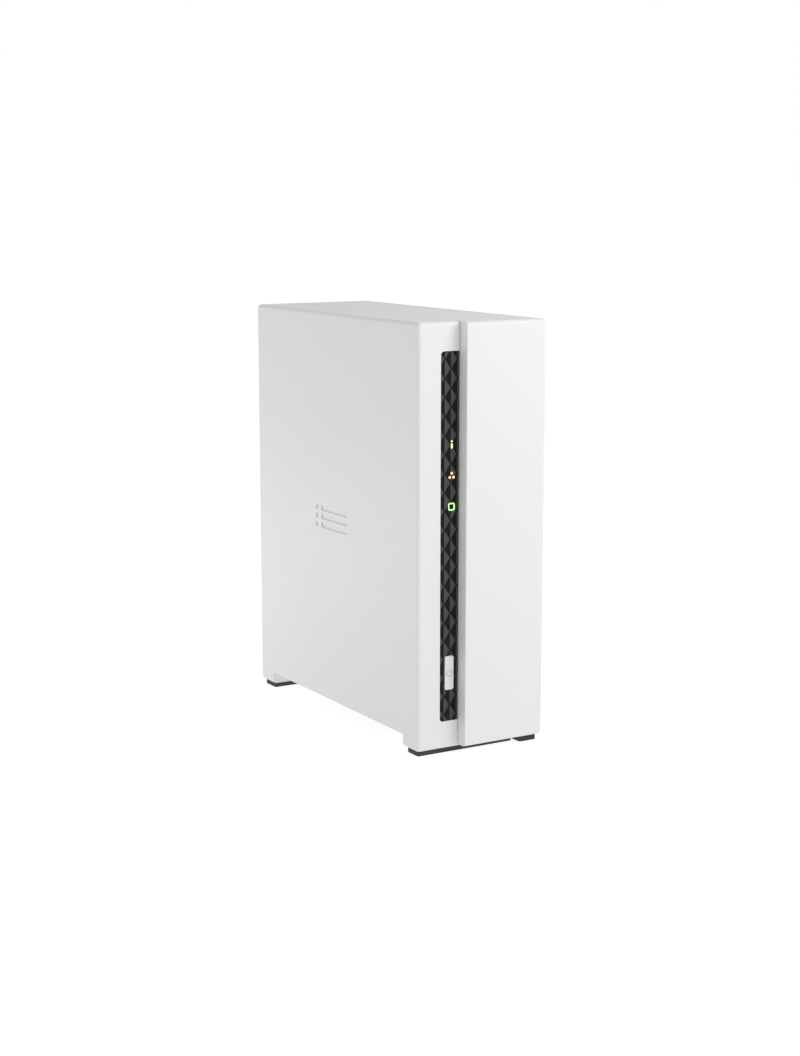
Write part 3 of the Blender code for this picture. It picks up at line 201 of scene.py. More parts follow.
def make_materials():
    """One material for each material slot of the record."""
    looks = {
        "white_shell": moulded("shell_white", (0.715, 0.715, 0.718), (0.735, 0.735, 0.737), (0.46, 0.60)),
        "white_button": moulded("button_white", grey(0.69), grey(0.71), (0.36, 0.44), 2.0, 0.004),
        "black_strip": moulded(
            "strip_black", grey(0.005), grey(0.008), (0.30, 0.40), 4.0, 0.003, Specular_IOR_Level=0.12),
        "rubber": moulded(
            "foot_rubber", (0.030, 0.030, 0.031), (0.046, 0.046, 0.047), (0.70, 0.85), 2.5, 0.03),
        "black_plastic": moulded(
            "plastic_black", (0.018, 0.018, 0.019), (0.028, 0.028, 0.030), (0.38, 0.52)),
        "white_plastic": moulded("plastic_white", (0.74, 0.73, 0.69), (0.80, 0.79, 0.75), (0.40, 0.50)),
        "lead": moulded("wire_sheath", grey(0.02), grey(0.04), (0.45, 0.55)),
        "chip": moulded(
            "chip_epoxy", (0.022, 0.022, 0.024), (0.034, 0.034, 0.036), (0.50, 0.66), 6.0, 0.010),
        "circuit_board": board_look(),
        "socket_metal": metal("socket_nickel", (0.44, 0.44, 0.43), (0.56, 0.56, 0.54), (0.24, 0.38)),
        "screw": metal("screw_nickel", (0.36, 0.36, 0.37), (0.48, 0.48, 0.49), (0.24, 0.36)),
        "steel_sheet": galvanised(),
        "heat_sink": metal(
            "sink_aluminium", (0.70, 0.71, 0.73), (0.80, 0.81, 0.82), (0.32, 0.46), (1.0, 0.05, 1.0)),
        "can": metal("can_sleeve", (0.62, 0.62, 0.64), (0.74, 0.74, 0.76), (0.26, 0.36)),
        "cell": metal("cell_steel", (0.66, 0.66, 0.65), (0.78, 0.78, 0.77), (0.18, 0.28)),
        "disk_casting": cast(),
        "disk_lid": metal(
            "lid_steel", (0.50, 0.51, 0.52), (0.60, 0.61, 0.62), (0.26, 0.38), (1.0, 0.02, 1.0)),
        "platter": metal("platter_mirror", (0.80, 0.80, 0.82), (0.86, 0.86, 0.88), (0.03, 0.07)),
        "green_lens": moulded("lens_green", (0.30, 0.85, 0.25), (0.35, 0.9, 0.3), (0.25, 0.3)),
        "amber_lens": moulded("lens_amber", (0.95, 0.62, 0.12), (0.95, 0.68, 0.16), (0.25, 0.3)),
    }
    return {slot: look.material for slot, look in looks.items()}


def metal(name, first, second, roughness, brushing=(1.0, 1.0, 0.06)):
    """Bare metal, brushed along the axis with the small stretch."""
    look = Look(name, first, roughness[0], Metallic=1.0)
    look.colour(look.noise(0.08, 3.0), first, second)
    strokes = look.noise(4.0, 3.0, brushing)
    look.gloss(strokes, *roughness)
    look.bump(strokes, 0.004)
    return look


def galvanised():
    """Zinc-coated sheet, with its spangle of flat crystals."""
    look = Look("steel_galvanised", (0.6, 0.61, 0.62), 0.4, Metallic=1.0)
    crystals = look.cells(0.25)
    look.colour(crystals, (0.52, 0.53, 0.54), (0.60, 0.61, 0.62))
    look.gloss(crystals, 0.34, 0.46)
    look.bump(look.noise(1.5, 3.0), 0.006)
    return look


def cast():
    """Cast metal with a fine blasted surface."""
    look = Look("casting_aluminium", grey(0.5), 0.45, Metallic=1.0)
    look.colour(look.noise(0.1, 4.0), (0.40, 0.40, 0.41), (0.52, 0.52, 0.53))
    look.gloss(look.noise(0.8, 4.0), 0.38, 0.54)
    look.bump(look.noise(2.2, 4.0), 0.03)
    return look


def board_look():
    """Green solder mask over copper areas and a glass weave."""
    look = Look("board_mask", (0.02, 0.16, 0.07), 0.4)
    copper = look.spread(look.noise(0.12, 5.0), 0.0, 1.0, 0.48, 0.52)
    look.colour(copper, (0.008, 0.075, 0.032), (0.018, 0.14, 0.055))
    look.gloss(look.noise(0.6, 3.0), 0.26, 0.40)
    look.bump(copper, 0.02)
    look.bump(look.noise(1.6, 2.0), 0.008)
    return look


MATERIALS = make_materials()


def dress_nodes():
    """Every CAD node shows its slot's material in place of the plain packed one."""
    for node in NODES.values():
        for place in node.material_slots:
            place.material = MATERIALS[place.material.name.split(".")[0]]


# ---------------------------------------------------------------- mesh helpers

# Turns that bring a shape's own +Z onto the named axis
ONTO = {
    "x": Matrix.Rotation(math.pi / 2, 4, "Y"),
    "y": Matrix.Rotation(-math.pi / 2, 4, "X"),
    "z": Matrix.Identity(4),
}


def about(centre, half):
    return centre - half, centre + half


def grown(pair, by):
    """A (low, high) pair with both ends moved out."""
    return pair[0] - by, pair[1] + by


def bridge(bm, first, second):
    """Faces between two closed loops of vertices, either of which may be a single vertex."""
    faces = []
    for i in range(max(len(first), len(second))):
        corners = (first[i % len(first)], first[(i + 1) % len(first)],
                   second[(i + 1) % len(second)], second[i % len(second)])
        faces.append(bm.faces.new(dict.fromkeys(corners)))
    return faces


def dress_faces(bm, faces, material, smooth=False):
    """Gives the faces their material and shading, and turns them all outwards."""
    for face in faces:
        face.material_index = material
        face.smooth = smooth
    bmesh.ops.recalc_face_normals(bm, faces=faces)


def add_box(bm, x, y, z, material=0):
    """A box between (low, high) pairs."""
    size = [high - low for low, high in (x, y, z)]
    centre = [(low + high) / 2 for low, high in (x, y, z)]
    made = bmesh.ops.create_cube(bm, matrix=Matrix.Translation(centre) @ Matrix.Diagonal((*size, 1.0)))
    for face in {face for vert in made["verts"] for face in vert.link_faces}:
        face.material_index = material


def add_lathe(bm, profile, centre, axis, steps=32, material=0, ring=False):
    """A solid of revolution; the profile holds (radius, height), from end to end or round a ring."""
    turn = Matrix.Translation(centre) @ ONTO[axis]
    rings = []
    for radius, height in profile:
        if radius == 0.0:
            rings.append([bm.verts.new(turn @ Vector((0.0, 0.0, height)))])
            continue
        angles = [math.tau * i / steps for i in range(steps)]
        points = [Vector((radius * math.cos(a), radius * math.sin(a), height)) for a in angles]
        rings.append([bm.verts.new(turn @ point) for point in points])
    pairs = list(zip(rings, rings[1:]))
    if ring:
        pairs.append((rings[-1], rings[0]))
    made = [face for pair in pairs for face in bridge(bm, *pair)]
    dress_faces(bm, made, material, smooth=True)


def add_rod(bm, centre, radius, length, axis, steps=24, material=0, soft=0.0):
    """A rod on its centre, with its ends rounded over by soft."""
    half = length / 2
    profile = [(0.0, -half), (radius - soft, -half)]
    if soft:
        profile += [(radius, -half + soft), (radius, half - soft)]
    profile += [(radius - soft, half), (0.0, half)]
    add_lathe(bm, profile, centre, axis, steps, material)


def add_loop(bm, outline, depth, axis):
    """Vertices at an outline's (u, v) points, which are its places on the other two axes in order."""
    places = [list(point) for point in outline]
    for place in places:
        place.insert("xyz".index(axis), depth)
    return [bm.verts.new(place) for place in places]


def add_prism(bm, outline, low, high, axis, material=0):
    """An outline, extruded along an axis."""
    bottom = add_loop(bm, outline, low, axis)
    top = add_loop(bm, outline, high, axis)
    dress_faces(bm, [bm.faces.new(bottom), bm.faces.new(top), *bridge(bm, bottom, top)], material)


def add_frame(bm, outer, inner, low, high, axis, material=0):
    """The band between two outlines with the same number of points, extruded along an axis."""
    loops = [add_loop(bm, outline, depth, axis)
             for outline, depth in ((outer, low), (outer, high), (inner, high), (inner, low))]
    faces = [face for pair in zip(loops, loops[1:] + loops[:1]) for face in bridge(bm, *pair)]
    dress_faces(bm, faces, material)


def rounded(u, v, radius, steps=5):
    """Outline of a rectangle between (low, high) pairs, with round corners."""
    corners = ((u[1], v[1], 0), (u[0], v[1], 1), (u[0], v[0], 2), (u[1], v[0], 3))
    points = []
    for cu, cv, quarter in corners:
        mu = cu - math.copysign(radius, cu - sum(u) / 2)
        mv = cv - math.copysign(radius, cv - sum(v) / 2)
        for i in range(steps + 1):
            angle = math.pi / 2 * (quarter + i / steps)
            points.append((mu + radius * math.cos(angle), mv + radius * math.sin(angle)))
    return points


def arc_band(centre, inner, outer, start, end, steps=24):
    """Outline of a ring's stretch, with angles in degrees."""
    angles = [math.radians(start + (end - start) * i / steps) for i in range(steps + 1)]
    out = [(centre[0] + outer * math.cos(a), centre[1] + outer * math.sin(a)) for a in angles]
    back = [(centre[0] + inner * math.cos(a), centre[1] + inner * math.sin(a)) for a in reversed(angles)]
    return out + back


def heading(route, i):
    """The route's direction at one of its points."""
    return (route[min(i + 1, len(route) - 1)] - route[max(i - 1, 0)]).normalized()


def add_wire(bm, route, radius, sides=8, material=0):
    """A round wire through the route's points."""
    rings = []
    for i, point in enumerate(route):
        ahead = heading(route, i)
        side = ahead.cross(Vector((0.3, 0.2, 1.0))).normalized()
        other = ahead.cross(side)
        angles = [math.tau * k / sides for k in range(sides)]
        rings.append([bm.verts.new(point + radius * (math.cos(a) * side + math.sin(a) * other))
                      for a in angles])
    made = [bm.faces.new(rings[0]), bm.faces.new(rings[-1])]
    made += [face for pair in zip(rings, rings[1:]) for face in bridge(bm, *pair)]
    dress_faces(bm, made, material, smooth=True)


def in_scene(name, data):
    """A new object of the scene, with its data."""
    made = bpy.data.objects.new(name, data)
    SCENE.collection.objects.link(made)
    return made


def object_from(name, bm):
    """An object of the scene, from a mesh built in millimetres."""
    bmesh.ops.scale(bm, vec=(MM, MM, MM), verts=bm.verts)
    mesh = bpy.data.meshes.new(name)
    bm.to_mesh(mesh)
    bm.free()
    return in_scene(name, mesh)


def add_piece(name, bm, body, slot, materials=None, bevel=0.0, segments=2):
    """A visible piece that rides on a CAD body, with its slot's material if none is given."""
    piece = object_from(name, bm)
    for material in materials or [MATERIALS[slot]]:
        piece.data.materials.append(material)
    if bevel:
        rounding = piece.modifiers.new("rounding", "BEVEL")
        rounding.width = bevel * MM
        rounding.segments = segments
        rounding.limit_method = "ANGLE"
        rounding.angle_limit = math.radians(40)
        rounding.harden_normals = True
    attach(piece, body)
    return piece


def shape_with(piece, cutter_mesh, operation):
    """Cuts a piece with a mesh built in millimetres, and keeps only the result."""
    cutter = object_from("cutter", cutter_mesh)
    cut = piece.modifiers.new("cut", "BOOLEAN")
    cut.operation = operation
    cut.solver = "EXACT"
    cut.object = cutter
    graph = bpy.context.evaluated_depsgraph_get()
    shaped = bpy.data.meshes.new_from_object(piece.evaluated_get(graph))
    piece.modifiers.remove(cut)
    spent = (piece.data, cutter.data)
    piece.data = shaped
    bpy.data.objects.remove(cutter, do_unlink=True)
    for mesh in spent:
        bpy.data.meshes.remove(mesh)


# ---------------------------------------------------------------- front strip, lights and button

STRIP_FLANGE = 2.0
STRIP_CORNER = 1.4
FLANGE_THICK = 1.0
DIAMOND_MIDDLE_X = -14.55
DIAMOND_MIDDLE_Z = 164.65
DIAMOND_HALF_WIDTH = 3.15
DIAMOND_HALF_HEIGHT = 4.083
DIAMOND_GROOVE = 0.05
DIAMOND_RISE = 0.22
DIAMOND_DEPTH = 1.0
RIDGE_Y = -72.26
BACKING_DROP = 0.12

LIGHT_X = -13.9
LENS_GAP = 0.08
INFO_DOT_Z = 137.6
INFO_BAR_Z = (134.5, 136.7)
INFO_HALF_WIDTH = 0.48
NETWORK_DOT_RADIUS = 0.62
NETWORK_DOTS = ((LIGHT_X, 123.8), (LIGHT_X - 0.95, 122.05), (LIGHT_X + 0.95, 122.05))
RING_Z = 109.3
RING_HALF = 1.7
RING_STROKE = 0.6
RING_CORNER = 0.9
RING_DEPTH = 0.8
LENS_Y = -72.1
PIPE_Y = (-68.7, -63.0)
MILKY = (0.62, 0.66, 0.62)
# Heights on the information light's bar that its glow is measured from
BAR_GLOW = tuple((LIGHT_X, INFO_BAR_Z[0] + step) for step in (0.3, 0.8, 1.3, 1.8))

BUTTON_HALF_WIDTH = 2.25
BUTTON_HALF_HEIGHT = 7.6
BUTTON_CORNER = 0.9
BUTTON_GAP = 0.3
BUTTON_Y = -72.55
BUTTON_FLANGE_Y = (-68.7, -67.9)
BUTTON_STEM_RADIUS = 1.5


def add_diamond(bm, x, z):
    """A diamond with an upright ridge: its left facet in the strip's black, and its right facet in a
    lighter copy of that black, painted light for the light that facet catches from the right.
    """
    wide = DIAMOND_HALF_WIDTH - DIAMOND_GROOVE
    tall = wide * DIAMOND_HALF_HEIGHT / DIAMOND_HALF_WIDTH
    valley = RIDGE_Y + DIAMOND_RISE
    root = valley + DIAMOND_DEPTH
    front = [bm.verts.new(place) for place in
             ((x, RIDGE_Y, z + tall), (x - wide, valley, z), (x, RIDGE_Y, z - tall), (x + wide, valley, z))]
    back = [bm.verts.new((vert.co.x, root, vert.co.z)) for vert in front]
    top, left, bottom, right = front
    bm.faces.new((top, left, bottom))
    # The right facet takes the second material, the lighter copy of the black: painted light.
    bm.faces.new((top, bottom, right)).material_index = 1
    bm.faces.new(list(reversed(back)))
    for i in range(4):
        j = (i + 1) % 4
        bm.faces.new((front[j], front[i], back[i], back[j]))


def front_strip():
    """The black strip with its field of diamonds, cut out for the lenses and the button."""
    low_x, high_x = span("front_strip", 0)
    low_z, high_z = span("front_strip", 2)
    back_y = span("front_strip", 1)[1]
    window_x = (low_x + STRIP_FLANGE, high_x)
    window_z = (low_z + STRIP_FLANGE, high_z - STRIP_FLANGE)
    field = bmesh.new()
    rows = int((window_z[1] - window_z[0]) / DIAMOND_HALF_HEIGHT) + 2
    for row in range(-1, rows):
        for column in range(-2, 2):
            if (row + column) % 2:
                continue
            add_diamond(field, DIAMOND_MIDDLE_X + column * DIAMOND_HALF_WIDTH,
                        DIAMOND_MIDDLE_Z - (row - 2) * DIAMOND_HALF_HEIGHT)
    # The right facets' material is the same black plastic, painted lighter and given more specular: a
    # painted highlight for the light those facets catch from the right.
    lit_facet_look = moulded("strip_painted_light", grey(0.050), grey(0.058), (0.45, 0.55), 4.0, 0.006,
                   Specular_IOR_Level=0.3)
    strip = add_piece("strip_diamonds", field, "base", "black_strip",
                      [MATERIALS["black_strip"], lit_facet_look.material])
    outline = bmesh.new()
    add_prism(outline, strip_outline(window_x, window_z), RIDGE_Y - 1.0, RIDGE_Y + 1.4, "y")
    shape_with(strip, outline, "INTERSECT")
    shape_with(strip, strip_holes(), "DIFFERENCE")

    plate = bmesh.new()
    plate_front = RIDGE_Y + DIAMOND_RISE + BACKING_DROP
    flange_front = back_y - FLANGE_THICK
    add_prism(plate, strip_outline(window_x, window_z), plate_front, flange_front - 0.02, "y")
    add_box(plate, (low_x, high_x), (flange_front, back_y), (low_z, high_z))
    backing = add_piece("strip_backing", plate, "base", "black_strip")
    shape_with(backing, strip_holes(), "DIFFERENCE")
    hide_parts("front_strip")


def strip_outline(x, z):
    """The window's outline, square on the side that meets the panel."""
    points = rounded((x[0], x[1] + STRIP_CORNER), z, STRIP_CORNER)
    return [(min(u, x[1]), v) for u, v in points]


def strip_holes():
    """Cutters for the button and for each lens, a little larger than they are."""
    bm = bmesh.new()
    depth = (RIDGE_Y - 2.0, span("front_strip", 1)[1] + 1.0)
    button = middle("power_button")
    button_x = about(button.x, BUTTON_HALF_WIDTH + BUTTON_GAP)
    button_z = about(button.z, BUTTON_HALF_HEIGHT + BUTTON_GAP)
    add_prism(bm, rounded(button_x, button_z, BUTTON_CORNER + 0.2), *depth, "y")
    add_prism(bm, ring_outline(RING_HALF + LENS_GAP), *depth, "y")
    bar_x = about(LIGHT_X, INFO_HALF_WIDTH + LENS_GAP)
    add_prism(bm, rounded(bar_x, grown(INFO_BAR_Z, LENS_GAP), 0.1), *depth, "y")
    length = depth[1] - depth[0]
    dots = [(LIGHT_X, INFO_DOT_Z, INFO_HALF_WIDTH)]
    dots += [(x, z, NETWORK_DOT_RADIUS) for x, z in NETWORK_DOTS]
    for x, z, radius in dots:
        add_rod(bm, (x, sum(depth) / 2, z), radius + LENS_GAP, length, "y", 16)
    return bm


def ring_outline(half):
    """The disk light's square with round corners, so far from its middle."""
    radius = half - RING_HALF + RING_CORNER
    return rounded(about(LIGHT_X, half), about(RING_Z, half), radius)


def lens(name, nearness, core, rim, reach):
    """A lit lens: its core colour near its middle line, its rim colour from reach on, milky behind."""
    look = Look(name, rim, 0.22, IOR=1.49)
    at_rim = look.spread(nearness(look), 0.0, 1.0, reach * 0.25 * MM, reach * MM)
    inward = look.spread(look.axis("Y"), 0.0, 1.0, LENS_Y * MM, (LENS_Y + 1.5) * MM)
    look.colour(inward, tuple(0.6 * part for part in rim), MILKY)
    strength = look.spread(inward, 1.15, 0.0, 0.0, 0.6)
    glow = look.mix(at_rim, core, rim)
    look.feed(look.shader, **{"Emission Color": glow, "Emission Strength": strength})
    look.gloss(look.noise(1.2, 2.0), 0.18, 0.26)
    look.bump(look.noise(2.5, 2.0), 0.004)
    return look.material


def nearest(*centres):
    """Distance to the closest of some (X, Z) centres, as a material's node."""
    def measure(look):
        flat = look.sums_vector("MULTIPLY", look.place, (1.0, 0.0, 1.0))
        found = None
        for x, z in centres:
            gap = look.sums_vector("DISTANCE", flat, (x * MM, 0.0, z * MM), output="Value")
            found = gap if found is None else look.sums("MINIMUM", found, gap)
        return found
    return measure


def ring_line(look):
    """Distance to the middle line of the square ring."""
    line_radius = RING_CORNER - RING_STROKE / 2
    straight = (RING_HALF - RING_STROKE / 2 - line_radius) * MM
    squares = []
    for axis, centre in (("X", LIGHT_X), ("Z", RING_Z)):
        offset = look.sums("ABSOLUTE", look.sums("SUBTRACT", look.axis(axis), centre * MM))
        past = look.sums("MAXIMUM", look.sums("SUBTRACT", offset, straight), 0.0)
        squares.append(look.sums("MULTIPLY", past, past))
    outward = look.sums("SQRT", look.sums("ADD", *squares))
    return look.sums("ABSOLUTE", look.sums("SUBTRACT", outward, line_radius * MM))


def light_pipe(name, node, bm, material):
    """A light pipe whose front is already in the mesh; this adds the block that faces its LED."""
    add_box(bm, span(node, 0), PIPE_Y, span(node, 2))
    pipe = add_piece(name, bm, "base", "green_lens", [material], bevel=0.08)
    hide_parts(node)


def lights():
    """The three lit lenses; the disk light is a ring round a dark core."""
    face_y = (LENS_Y, PIPE_Y[0] + 0.5)
    bm = bmesh.new()
    dot = (LIGHT_X, sum(face_y) / 2, INFO_DOT_Z)
    add_rod(bm, dot, INFO_HALF_WIDTH, face_y[1] - face_y[0], "y", 20)
    add_prism(bm, rounded(about(LIGHT_X, INFO_HALF_WIDTH), INFO_BAR_Z, 0.12), *face_y, "y")
    info_look = lens("lens_info", nearest((LIGHT_X, INFO_DOT_Z), *BAR_GLOW),
                     (0.88, 1.0, 0.76), (0.30, 0.80, 0.18), 0.6)
    light_pipe("info_lens", "info_light_pipe", bm, info_look)

    bm = bmesh.new()
    well_y = LENS_Y + RING_DEPTH
    add_frame(bm, ring_outline(RING_HALF), ring_outline(RING_HALF - RING_STROKE),
              LENS_Y, well_y + 0.1, "y")
    add_prism(bm, ring_outline(RING_HALF - 0.02), well_y, face_y[1], "y")
    ring_look = lens("lens_disk", ring_line, (0.66, 1.0, 0.50), (0.16, 0.70, 0.08), 0.4)
    light_pipe("disk_lens", "disk_light_pipe", bm, ring_look)

    bm = bmesh.new()
    add_prism(bm, ring_outline(RING_HALF - RING_STROKE - 0.04), LENS_Y + 0.25, well_y - 0.01, "y")
    add_piece("ring_core", bm, "base", "black_strip", bevel=0.08)

    NODES["network_light_pipe"].material_slots[0].material = lens(
        "lens_network", nearest(*NETWORK_DOTS), (1.0, 0.92, 0.60), (0.84, 0.42, 0.03), 0.8)


def power_button():
    """The button cap with rounded edges, its flange and stem, and a power symbol."""
    centre = middle("power_button")
    back_y = span("power_button", 1)[1]
    flange_back = BUTTON_FLANGE_Y[1]
    bm = bmesh.new()
    face = rounded(about(centre.x, BUTTON_HALF_WIDTH), about(centre.z, BUTTON_HALF_HEIGHT), BUTTON_CORNER)
    add_prism(bm, face, BUTTON_Y, flange_back, "y")
    cap = add_piece("button_cap", bm, "power_button", "white_button", bevel=0.3, segments=3)
    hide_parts("power_button")

    bm = bmesh.new()
    add_box(bm, span("power_button", 0), BUTTON_FLANGE_Y, span("power_button", 2))
    stem = (centre.x, (flange_back + back_y) / 2, centre.z)
    add_rod(bm, stem, BUTTON_STEM_RADIUS, back_y - flange_back + 0.4, "y")
    add_piece("button_flange", bm, "power_button", "white_button", bevel=0.15)

    bm = bmesh.new()
    symbol_y = (BUTTON_Y - 0.03, BUTTON_Y + 0.1)
    add_prism(bm, arc_band((centre.x, centre.z), 1.22, 1.58, 125, 415), *symbol_y, "y")
    stroke_z = (centre.z + 0.35, centre.z + 1.75)
    add_prism(bm, rounded(about(centre.x, 0.18), stroke_z, 0.15), *symbol_y, "y")
    ink = moulded("symbol_grey", (0.36, 0.36, 0.37), (0.41, 0.41, 0.42), (0.5, 0.6))
    add_piece("power_symbol", bm, "power_button", "white_button", [ink.material])


# ---------------------------------------------------------------- screws

CROSS_TURN_STEPS = 5

# Screws, the axis and side that their heads face, and the heads' radius and height
SCREWS = (
    (("cover_screw_lower", "cover_screw_upper"), "y", 1, 3.1, 1.2),
    (("fan_screw_1", "fan_screw_2", "fan_screw_3", "fan_screw_4"), "y", 1, 2.9, 1.2),
    (("light_board_screw",), "y", 1, 2.2, 1.3),
    (("board_screw_front", "board_screw_rear"), "x", 1, 2.5, 1.5),
    (("frame_screw_front", "frame_screw_rear"), "z", 1, 2.6, 1.6),
    (("disk_screw_rear_lower", "disk_screw_rear_upper"), "y", 1, 3.0, 1.6),
    (("disk_screw_front_lower", "disk_screw_front_upper"), "y", -1, 3.0, 1.6),
)


def add_cross(bm, place, radius, depth, material=0):
    """A round plug with a cross-shaped recess, its face at the place's own z = 0."""
    slot = 0.2 * radius
    reach = math.sqrt(radius ** 2 - slot ** 2)
    first = len(bm.verts)
    add_rod(bm, (0.0, 0.0, -depth - 0.15), radius, 0.3, "z", 20, material)
    start, stop = math.atan2(slot, reach), math.atan2(reach, slot)
    turn = (stop - start) / CROSS_TURN_STEPS
    angles = [start + turn * i for i in range(CROSS_TURN_STEPS + 1)]
    arc = [(radius * math.cos(a), radius * math.sin(a)) for a in angles]
    for quarter in range(4):
        turn = Matrix.Rotation(math.pi / 2 * quarter, 2)
        outline = [turn @ Vector(point) for point in [(slot, slot), *arc]]
        add_prism(bm, outline, -depth - 0.05, 0.0, "z", material)
    bmesh.ops.transform(bm, matrix=place, verts=list(bm.verts)[first:])


def facing(point, axis, side=1):
    """A place at the point, whose own +Z is the axis, or its opposite where side is -1."""
    flip = Matrix.Rotation(math.pi, 4, "X") if side < 0 else Matrix.Identity(4)
    return Matrix.Translation(point) @ ONTO[axis] @ flip


def screw_crosses():
    """Cross recesses that line the round sockets of the screw heads, one piece for each body."""
    meshes = {}
    for names, axis, side, radius, height in SCREWS:
        for name in names:
            body = body_of(NODES[name])[0]
            point = middle(name)
            index = "xyz".index(axis)
            point[index] = span(name, index)[1 if side > 0 else 0] - side * 0.1 * height
            mesh = meshes.setdefault(body, bmesh.new())
            add_cross(mesh, facing(point, axis, side), 0.5 * radius + 0.05, 0.45 * height)
    for body, mesh in meshes.items():
        add_piece(f"screw_crosses_{body}", mesh, body, "screw")


# ---------------------------------------------------------------- rear sockets

GOLD = metal("contact_gold", (0.80, 0.58, 0.22), (0.90, 0.68, 0.30), (0.20, 0.30))
PRINT = moulded("print_grey", (0.30, 0.30, 0.31), (0.35, 0.35, 0.36), (0.5, 0.6))
REAR_WALL_Y = 76.4
SYMBOL_X = -5.4
LAN_BACK = 63.6
LAN_FRONT = 76.2
LAN_PORT_X = (-21.45, -13.25)
LAN_LATCH_X = -11.25
LAN_HALF = 5.85
LAN_LATCH_HALF = 3.05
LAN_PITCH = 1.02
LAN_LIGHT_X = (-12.7, -10.5)
LAN_LIGHT_OFF = 6.0
# A contact's bend, as its distances out from the port's side and along from its back
LAN_SPRING = ((0.75, 11.6), (0.85, 9.5), (2.6, 3.2), (2.8, 1.8), (2.4, 0.6))
TONGUE_X = (-21.55, -19.45)
TONGUE_Y = (63.7, 75.7)
TONGUE_PADS_X = (-19.5, -19.33)
TONGUE_PADS_Y = (64.5, 74.9)
TONGUE_PADS = (-3.5, -1.0, 1.0, 3.5)
DIMPLES_X = (-22.35, -17.45)
DIMPLES_Y = 72.5
DIMPLES_OFF = 3.4


def lan_outline(inset):
    """The network socket's mouth, with its latch notch, drawn in by the inset."""
    z = middle("lan_socket").z
    low, shoulder, end = LAN_PORT_X[0] + inset, LAN_PORT_X[1] - inset, LAN_LATCH_X - inset
    wide, narrow = LAN_HALF - inset, LAN_LATCH_HALF - inset
    return [(low, z - wide), (shoulder, z - wide), (shoulder, z - narrow), (end, z - narrow),
            (end, z + narrow), (shoulder, z + narrow), (shoulder, z + wide), (low, z + wide)]


def network_socket():
    """Black insert with its comb, eight gold contacts, and two link lights in the shield."""
    z = middle("lan_socket").z
    face_y = span("lan_socket", 1)[1]
    bm = bmesh.new()
    add_frame(bm, lan_outline(0.0), lan_outline(0.5), LAN_BACK, LAN_FRONT, "y")
    add_prism(bm, lan_outline(0.2), LAN_BACK, LAN_BACK + 0.8, "y")
    rib_x = (LAN_PORT_X[0] + 0.3, LAN_PORT_X[0] + 1.4)
    for i in range(9):
        add_box(bm, rib_x, (LAN_BACK + 0.5, LAN_FRONT - 0.8), about(z + (i - 4) * LAN_PITCH, 0.17))
    add_piece("lan_insert", bm, "base", "black_plastic")

    bm = bmesh.new()
    for i in range(8):
        contact_z = z + (i - 3.5) * LAN_PITCH
        route = [Vector((LAN_PORT_X[0] + out, LAN_BACK + along, contact_z)) for out, along in LAN_SPRING]
        add_wire(bm, route, 0.22, 8)
    add_piece("lan_contacts", bm, "base", "socket_metal", [GOLD.material])

    for name, slot, side in (("link_light", "green_lens", -1), ("speed_light", "amber_lens", 1)):
        bm = bmesh.new()
        window_z = about(z + side * LAN_LIGHT_OFF, 1.4)
        add_prism(bm, rounded(LAN_LIGHT_X, window_z, 0.3), face_y - 0.3, face_y + 0.12, "y")
        add_piece(name, bm, "base", slot, bevel=0.08)


def usb_sockets():
    """Tongues with their gold contacts, one blue and one black, and the shields' spring dimples."""
    blue = moulded("tongue_blue", (0.015, 0.09, 0.42), (0.02, 0.12, 0.50), (0.35, 0.45))
    colours = {"usb_port_lower": MATERIALS["black_plastic"], "usb_port_upper": blue.material}
    for node, colour in colours.items():
        z = middle(node).z
        bm = bmesh.new()
        add_prism(bm, rounded(TONGUE_X, about(z, 5.55), 0.25), *TONGUE_Y, "y")
        for offset in TONGUE_PADS:
            add_box(bm, TONGUE_PADS_X, TONGUE_PADS_Y, about(z + offset, 0.55), 1)
        for dimple_z in about(z, DIMPLES_OFF):
            for x in DIMPLES_X:
                add_rod(bm, (x, DIMPLES_Y, dimple_z), 0.8, 0.5, "x", 16, 2, 0.2)
        add_piece(f"{node}_tongue", bm, "base", "black_plastic",
                  [colour, GOLD.material, MATERIALS["socket_metal"]])


def power_socket():
    """The inlet's bright pin, its spring contact and the collar round its bore."""
    centre = middle("power_inlet")
    face_y = span("power_inlet", 1)[1]
    bm = bmesh.new()
    pin = ((0.0, 65.3), (1.2, 65.3), (1.2, 74.9), (0.95, 75.3), (0.5, 75.45), (0.0, 75.45))
    add_lathe(bm, pin, (centre.x, 0.0, centre.z), "y", 24)
    add_box(bm, about(centre.x, 1.0), (66.0, 74.0), (centre.z + 2.75, centre.z + 3.05))
    add_piece("inlet_contacts", bm, "base", "socket_metal")

    bm = bmesh.new()
    collar = ((3.2, -0.3), (3.2, 0.15), (3.3, 0.25), (3.8, 0.25), (3.95, 0.1), (3.95, -0.3))
    add_lathe(bm, collar, (centre.x, face_y, centre.z), "y", 48, ring=True)
    add_piece("inlet_collar", bm, "base", "black_plastic")


